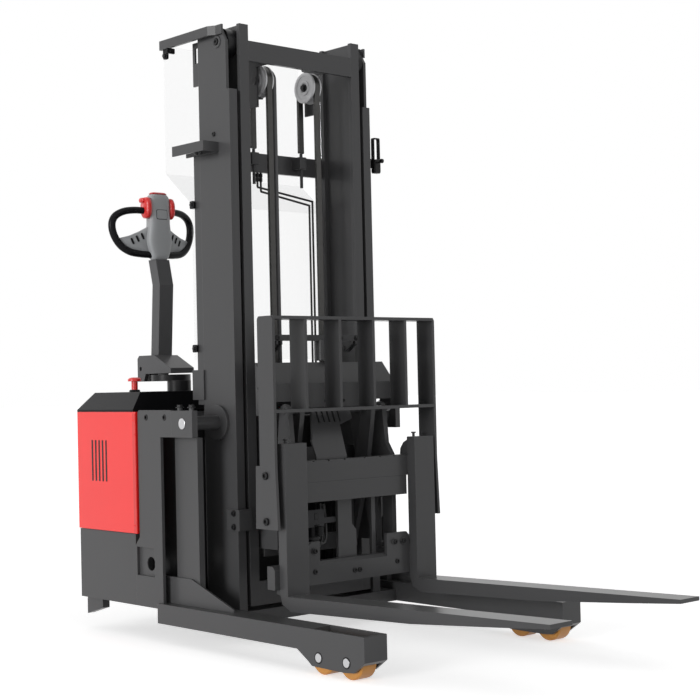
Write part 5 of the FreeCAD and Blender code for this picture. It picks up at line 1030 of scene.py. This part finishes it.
@dataclass
class CarriageTrim:
    """Screws on the hood, bolts on the head bar, and the coiled lead by the canister."""

    screw: float = 0.006
    screw_sink: float = 0.0005
    front_height: float = 0.850
    side_drop: float = 0.09
    coil_middle: Triple = (0.040, 0.247, 1.018)
    coil_turns: int = 5
    coil_radius: float = 0.012
    coil_growth: float = 0.0016
    coil_pitch: float = 0.0012
    lead: float = 0.0032
    bar_ahead: float = 0.3145
    bar_drop: float = 0.011

    def build(self) -> None:
        """Make the carriage's small pieces."""
        low, high = span("carriage_hood")
        holes = [socket_screw(1, -1, self.screw).at((x, low[1] + self.screw_sink, self.front_height))
                 for x in (-0.035, 0.050)]
        holes += [socket_screw(0, side, self.screw).at(
            (side * (high[0] - self.screw_sink), high[1] - back, high[2] - self.side_drop))
            for side in BOTH for back in (0.02, 0.045)]
        put("hood_screws", holes, Slot.BLACK_METAL, Body.CARRIAGE)
        x, y, z = self.coil_middle
        turns = np.linspace(0, self.coil_turns, 120)
        radius, angle = self.coil_radius + self.coil_growth * turns, 2 * np.pi * turns
        coil = np.stack([x + radius * np.cos(angle), y - self.coil_pitch * turns, z + radius * np.sin(angle)], -1)
        put("canister_coil", tube(coil, self.lead, 8), Slot.HOSE_RUBBER, Body.CARRIAGE)
        height = span("carriage_frame")[1][2] - self.bar_drop
        seats = [(x, DATUM_Y - self.bar_ahead, height) for x in (-0.19, -0.11, 0.11, 0.19)]
        put("head_bar_bolts", bolt(1, -1, 0.008).at(*seats), Slot.BLACK_METAL, Body.CARRIAGE)


@dataclass
class ForkCarriageTrim:
    """Bolts, black discs painted as the shade in the bar holes, valve fittings and hoses between the fork bars."""

    dome_ahead: float = 0.479
    dome_heights: tuple[float, float] = (0.604, 0.449)
    bar_y: float = DATUM_Y - 0.502
    bar_holes: Profile = ((-0.196, 0.262), (0.196, 0.262), (-0.012, 0.250), (0.012, 0.250))
    rail_step: float = 0.007
    rail_holes: Triple = (-0.200, 0.182, 0.225)
    rail_height: float = 0.334
    valve_top: Triple = (-0.140, DATUM_Y - 0.424, 0.425)
    coil: Profile = ((-0.052, 0.026), (-0.05, 0.0285), (-0.008, 0.0285), (-0.006, 0.026))
    neck: Profile = ((-0.094, 0.0275), (-0.09, 0.0285), (-0.062, 0.0285), (-0.06, 0.0275))
    window: Triple = (-0.140, DATUM_Y - 0.450, 0.447)
    hose: float = 0.0048
    hose_pitch: float = 0.016
    hose_knots: tuple[Triple, ...] = ((0.020, -0.012, 0.352), (0.045, -0.012, 0.350), (0.062, -0.004, 0.372),
                                     (0.066, 0.002, 0.420), (0.060, 0.004, 0.485))

    def build(self) -> None:
        """Make the fork carriage's small pieces."""
        high = span("load_backrest")[1]
        domes = [socket_screw(0, side, 0.0135).at((side * high[0], DATUM_Y - self.dome_ahead, height))
                 for side in BOTH for height in self.dome_heights]
        put("backrest_bolts", domes, Slot.BLACK_METAL, Body.FORK_CARRIAGE)
        # Painted shade: black discs stand for the dark bar holes, all but the two middle ones of bar_holes, which are
        # bolts.
        seats = [(x, self.bar_y, z) for x, z in self.bar_holes]
        seats += [(x, self.bar_y - self.rail_step, self.rail_height) for x in self.rail_holes]
        put("bar_screws_and_hole_shade", socket_screw(1, -1, 0.009).at(*seats), Slot.BLACK_METAL, Body.FORK_CARRIAGE)
        self._valve()

    def _valve(self) -> None:
        """Coil, cap nut, connector, window and two short hoses of the reach valve."""
        x, y, z = self.valve_top
        plug = slab(rounded(0.011, 0.013), -0.046, -0.012, 0.002, 2).at((x + 0.002, y - 0.034, z))
        turned = [disc(1, 2, 28, rows).at(self.valve_top) for rows in (self.coil, self.neck)]
        nut = slab(hexagon(0.013), 0.0, 0.01, 0.0015, 2).at(self.valve_top)
        put("valve_coil", [*turned, plug, nut], Slot.BLACK_PLASTIC, Body.FORK_CARRIAGE)
        square = slab(rounded(0.012, 0.010, 10.0), -0.0015, 0.0015, 0.0005, 1).at(self.window)
        put("valve_window", square, Slot.BLACK_METAL, Body.FORK_CARRIAGE)
        hoses = []
        for aside in (0.0, self.hose_pitch):
            knots = [(x + out, y + aft + aside, height + lift)
                     for (out, aft, height), lift in zip(self.hose_knots, (0, 0, aside, 0, 0))]
            hoses.append(tube(smooth_path(knots), self.hose, 10))
        put("valve_hoses", hoses, Slot.HOSE_RUBBER, Body.FORK_CARRIAGE)


@dataclass
class TillerLooks:
    """Smooth grip loops, head shell, controls and buttons of the tiller, set out from the head's foot."""

    foot: Triple = (-0.170, 1.021, 1.413)
    grip: float = 0.0145
    sweep: float = 14.4
    wing_in: float = 0.030
    wing_half: float = 0.012
    key_lean: float = 24.0
    face: float = -0.0268
    display_up: float = 0.178
    blade_up: float = 0.204
    cap_up: float = 0.2565
    loop_knots: tuple[Triple, ...] = (
        (0.036, 0.003, 0.020), (0.078, 0.010, 0.022), (0.122, 0.020, 0.030), (0.158, 0.033, 0.056),
        (0.181, 0.042, 0.098), (0.186, 0.045, 0.140), (0.172, 0.041, 0.170), (0.140, 0.030, 0.188),
        (0.100, 0.017, 0.194), (0.060, 0.008, 0.193))
    stations: tuple[Triple, ...] = (
        (0.0, 0.030, 0.020), (0.006, 0.036, 0.025), (0.02, 0.042, 0.027), (0.05, 0.052, 0.027),
        (0.077, 0.056, 0.027), (0.105, 0.052, 0.027), (0.142, 0.047, 0.027), (0.18, 0.047, 0.027),
        (0.217, 0.047, 0.026), (0.24, 0.046, 0.025), (0.252, 0.042, 0.023), (0.258, 0.036, 0.019))
    wing: Profile = (
        (-0.012, 0.132), (-0.006, 0.060), (0.0, 0.028), (0.020, 0.026), (0.075, 0.034), (0.112, 0.048),
        (0.136, 0.068), (0.142, 0.078), (0.132, 0.084), (0.092, 0.094), (0.050, 0.112), (0.016, 0.130))

    def build(self) -> None:
        """Make the loops, the shell and what sits on them."""
        self._loops()
        self._shell()
        self._controls()
        self._buttons()

    def _loops(self) -> None:
        """Grip loops: smooth tubes through knots set out from the foot, standing for the plain CAD loops."""
        sides = []
        for side in BOTH:
            path = smooth_path([(side * out, aft, up) for out, aft, up in self.loop_knots], 6) + self.foot
            share = np.linspace(0, 1, len(path))
            sides.append(tube(path, self.grip * (0.93 + 0.1 * np.sin(np.pi * share) ** 2), 16))
        loops = put("grip_loops", sides, Slot.BLACK_PLASTIC, Body.TILLER, crease=60.0)
        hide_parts("tiller_loops")

    def _shell(self) -> None:
        """Head shell: superellipses whose half width and depth follow the height, standing for the CAD head.

        The stations are height, half width and half depth, and the wings are swept plates at both sides.
        """
        rows, around = 30, 40
        levels, half, deep = np.array(self.stations).T
        height = np.linspace(levels[0], levels[-1], rows)
        sizes = np.stack([np.interp(height, levels, half), np.interp(height, levels, deep)], -1)
        points = np.zeros((rows + 2, around, 3))
        points[1:-1, :, :2] = rounded(1.0, 1.0, 3.6, around)[None] * sizes[:, None]
        points[:, :, 2] = np.concatenate([height[:1], height, height[-1:]])[:, None]
        forms = [Form(points.reshape(-1, 3), grid_faces(rows + 2, around))]
        for side in BOTH:
            outline = np.array([(up, side * (self.wing_in + out)) for out, up in self.wing])
            plate = slab(outline, -self.wing_half, self.wing_half, 0.003, 1)
            forms.append(plate.turned(2, side * self.sweep))
        shell = put("head_shell", Form.joined(forms).at(self.foot), Slot.GREY_PLASTIC, Body.TILLER, crease=50.0)
        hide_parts("tiller_head")

    def _controls(self) -> None:
        """Horn cap on the head and butterfly paddles round its sides."""
        blade = slab(rounded(0.030, 0.042, 2.6), 0.044, 0.066, 0.006, 0)
        flare = slab(rounded(0.016, 0.010, 3.0), 0.046, 0.0735, 0.004, 0).at((0, 0.012, 0.030))
        paddle = Form.joined([blade, flare])
        cap = slab(rounded(0.037, 0.021, 3.0), 0.0, 0.0095, 0.005, 2).at((0, 0, self.cap_up))
        whole = Form.joined([cap, *(form.at((0, 0, self.blade_up)) for form in (paddle.mirrored(), paddle))])
        red = put("red_controls", whole.at(self.foot), Slot.RED_PLASTIC, Body.TILLER, crease=50.0)
        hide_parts("tiller_controls")

    def _buttons(self) -> None:
        """Display frame and plate on the column and three slanted keys on each wing."""
        spot = (self.foot[0], self.foot[1] + self.face, self.foot[2] + self.display_up)
        edge = slab(rounded(0.0255, 0.0195, 8.0)[:, ::-1], -0.001, 0.002, 0.0008, 1)
        plate = slab(rounded(0.0235, 0.0175, 8.0)[:, ::-1], -0.0018, 0.002, 0.0006, 1)
        put("display_frame", edge.at(spot), Slot.BLACK_METAL, Body.TILLER)
        put("display_plate", plate.at(spot), Slot.GREY_PLASTIC, Body.TILLER)
        key = slab(rounded(0.013, 0.0042, 5.0), -0.0145, -0.011, 0.0008, 1)
        keys = []
        for side in BOTH:
            seats = [(side * (0.070 + 0.021 * number), 0.0, 0.092 - 0.010 * number) for number in range(3)]
            keys.append(key.turned(1, side * self.key_lean).at(*seats).turned(2, side * self.sweep).at(self.foot))
        put("wing_keys", keys, Slot.BLACK_PLASTIC, Body.TILLER)


@dataclass
class BodyTrim:
    """Cover seams, stop collar, chassis screws and wheel hubs."""

    collar: Profile = ((0.0, 0.0135), (0.0, 0.020), (0.002, 0.021), (0.007, 0.0195), (0.009, 0.016), (0.009, 0.0135))
    screw: float = 0.0042
    screw_back: float = 0.014
    screw_in: float = 0.03
    vent_rear: float = 1.0
    vent_pitch: float = 0.0236
    vent_height: float = 0.6415
    edge_back: float = 0.0105
    castor_ring: Profile = ((-0.001, 0.018), (0.001, 0.019), (0.002, 0.022), (0.002, 0.034), (0.001, 0.036),
                            (-0.001, 0.036))
    axle_ring: Profile = ((-0.0005, 0.0145), (0.001, 0.015), (0.0013, 0.0165), (0.001, 0.0185), (-0.0005, 0.019))
    nut: float = 0.008
    nut_circle: float = 0.055

    def build(self) -> None:
        """Make the small pieces of the chassis and the wheels."""
        self._stop()
        self._covers()
        self._hubs()
        self._keepers()

    def _stop(self) -> None:
        """Collar at the foot of the emergency stop."""
        x, y, _ = middle_of("emergency_stop")
        seat = (x, y, span("emergency_stop")[0][2])
        put("stop_collar", ring(1, 2, 28, self.collar).at(seat), Slot.BLACK_PLASTIC, Body.CHASSIS)

    def _covers(self) -> None:
        """Screws, black strips painted as the shade in the vent slots, and front edge strips of the side covers."""
        low, high = span("side_covers")
        tall, middle = high[2] - low[2], (low[2] + high[2]) / 2
        screws = [socket_screw(0, side, self.screw).at((side * high[0], low[1] + self.screw_back, height))
                  for side in BOTH for height in (low[2] + self.screw_in, high[2] - self.screw_in)]
        put("cover_screws", screws, Slot.RED_COVER, Body.CHASSIS)
        # Painted shade: thin black strips stand for the dark insides of the vent slots.
        vent_slot_shadow = slab(rounded(0.077, 0.0006, 14.0), -0.0046, 0.0046, 0.0003, 1)
        rows = [(side * (high[0] + 0.0002), self.vent_rear - self.vent_pitch * number, self.vent_height)
                for side in BOTH for number in range(5)]
        put("painted_vent_slot_shadows", vent_slot_shadow.at(*rows), Slot.BLACK_METAL, Body.CHASSIS)
        strip = slab(rounded(tall / 2 - 0.003, 0.0008, 12.0), -0.009, 0.009, 0.0004, 1)
        seats = [(side * (high[0] + 0.0006), low[1] + self.edge_back, middle) for side in BOTH]
        put("cover_edges", strip.at(*seats), Slot.RED_BUTTON, Body.CHASSIS)

    def _hubs(self) -> None:
        """Bearing rings on the castor and bolt rings on the drive wheel."""
        _, y, z = middle_of("castor_wheel")
        rings = [ring(side, 0, 30, self.castor_ring).at((x, y, z)) for side, x in ends_of("castor_wheel").items()]
        put("castor_rings", rings, Slot.ZINC_STEEL, Body.CASTOR_ROLL)
        _, y, z = middle_of("drive_wheel")
        turn = np.arange(5) * 2 * np.pi / 5
        ys, zs = y + self.nut_circle * np.cos(turn), z + self.nut_circle * np.sin(turn)
        nuts = [bolt(0, side, self.nut).at(*[(x, *pair) for pair in zip(ys, zs)])
                for side, x in ends_of("drive_wheel").items()]
        put("drive_nuts", nuts, Slot.BLACK_METAL, Body.DRIVE)

    def _keepers(self) -> None:
        """Flat rings round the load axle ends, on the leg faces."""
        out = ends_of("straddle_leg_left")[1]
        rings = []
        for name in ("load_roller_rear_left", "load_roller_front_left"):
            _, y, z = middle_of(name)
            rings += [ring(side, 0, 28, self.axle_ring).at((side * out, y, z)) for side in BOTH]
        put("axle_rings", rings, Slot.BLACK_METAL, Body.CHASSIS)


ASSEMBLIES = (LeafChains, MastHose, PulleyFaces, MastTrim, CarriageTrim, ForkCarriageTrim, TillerLooks, BodyTrim)


def main() -> None:
    """Build the studio, dress the CAD nodes and add each sub-assembly's pieces."""
    logging.basicConfig(level=logging.INFO, format="%(message)s")
    Studio().build()
    Dresser.prepare()
    Dresser.dress()
    for assembly in ASSEMBLIES:
        assembly().build()


if __name__ == "__main__":
    main()
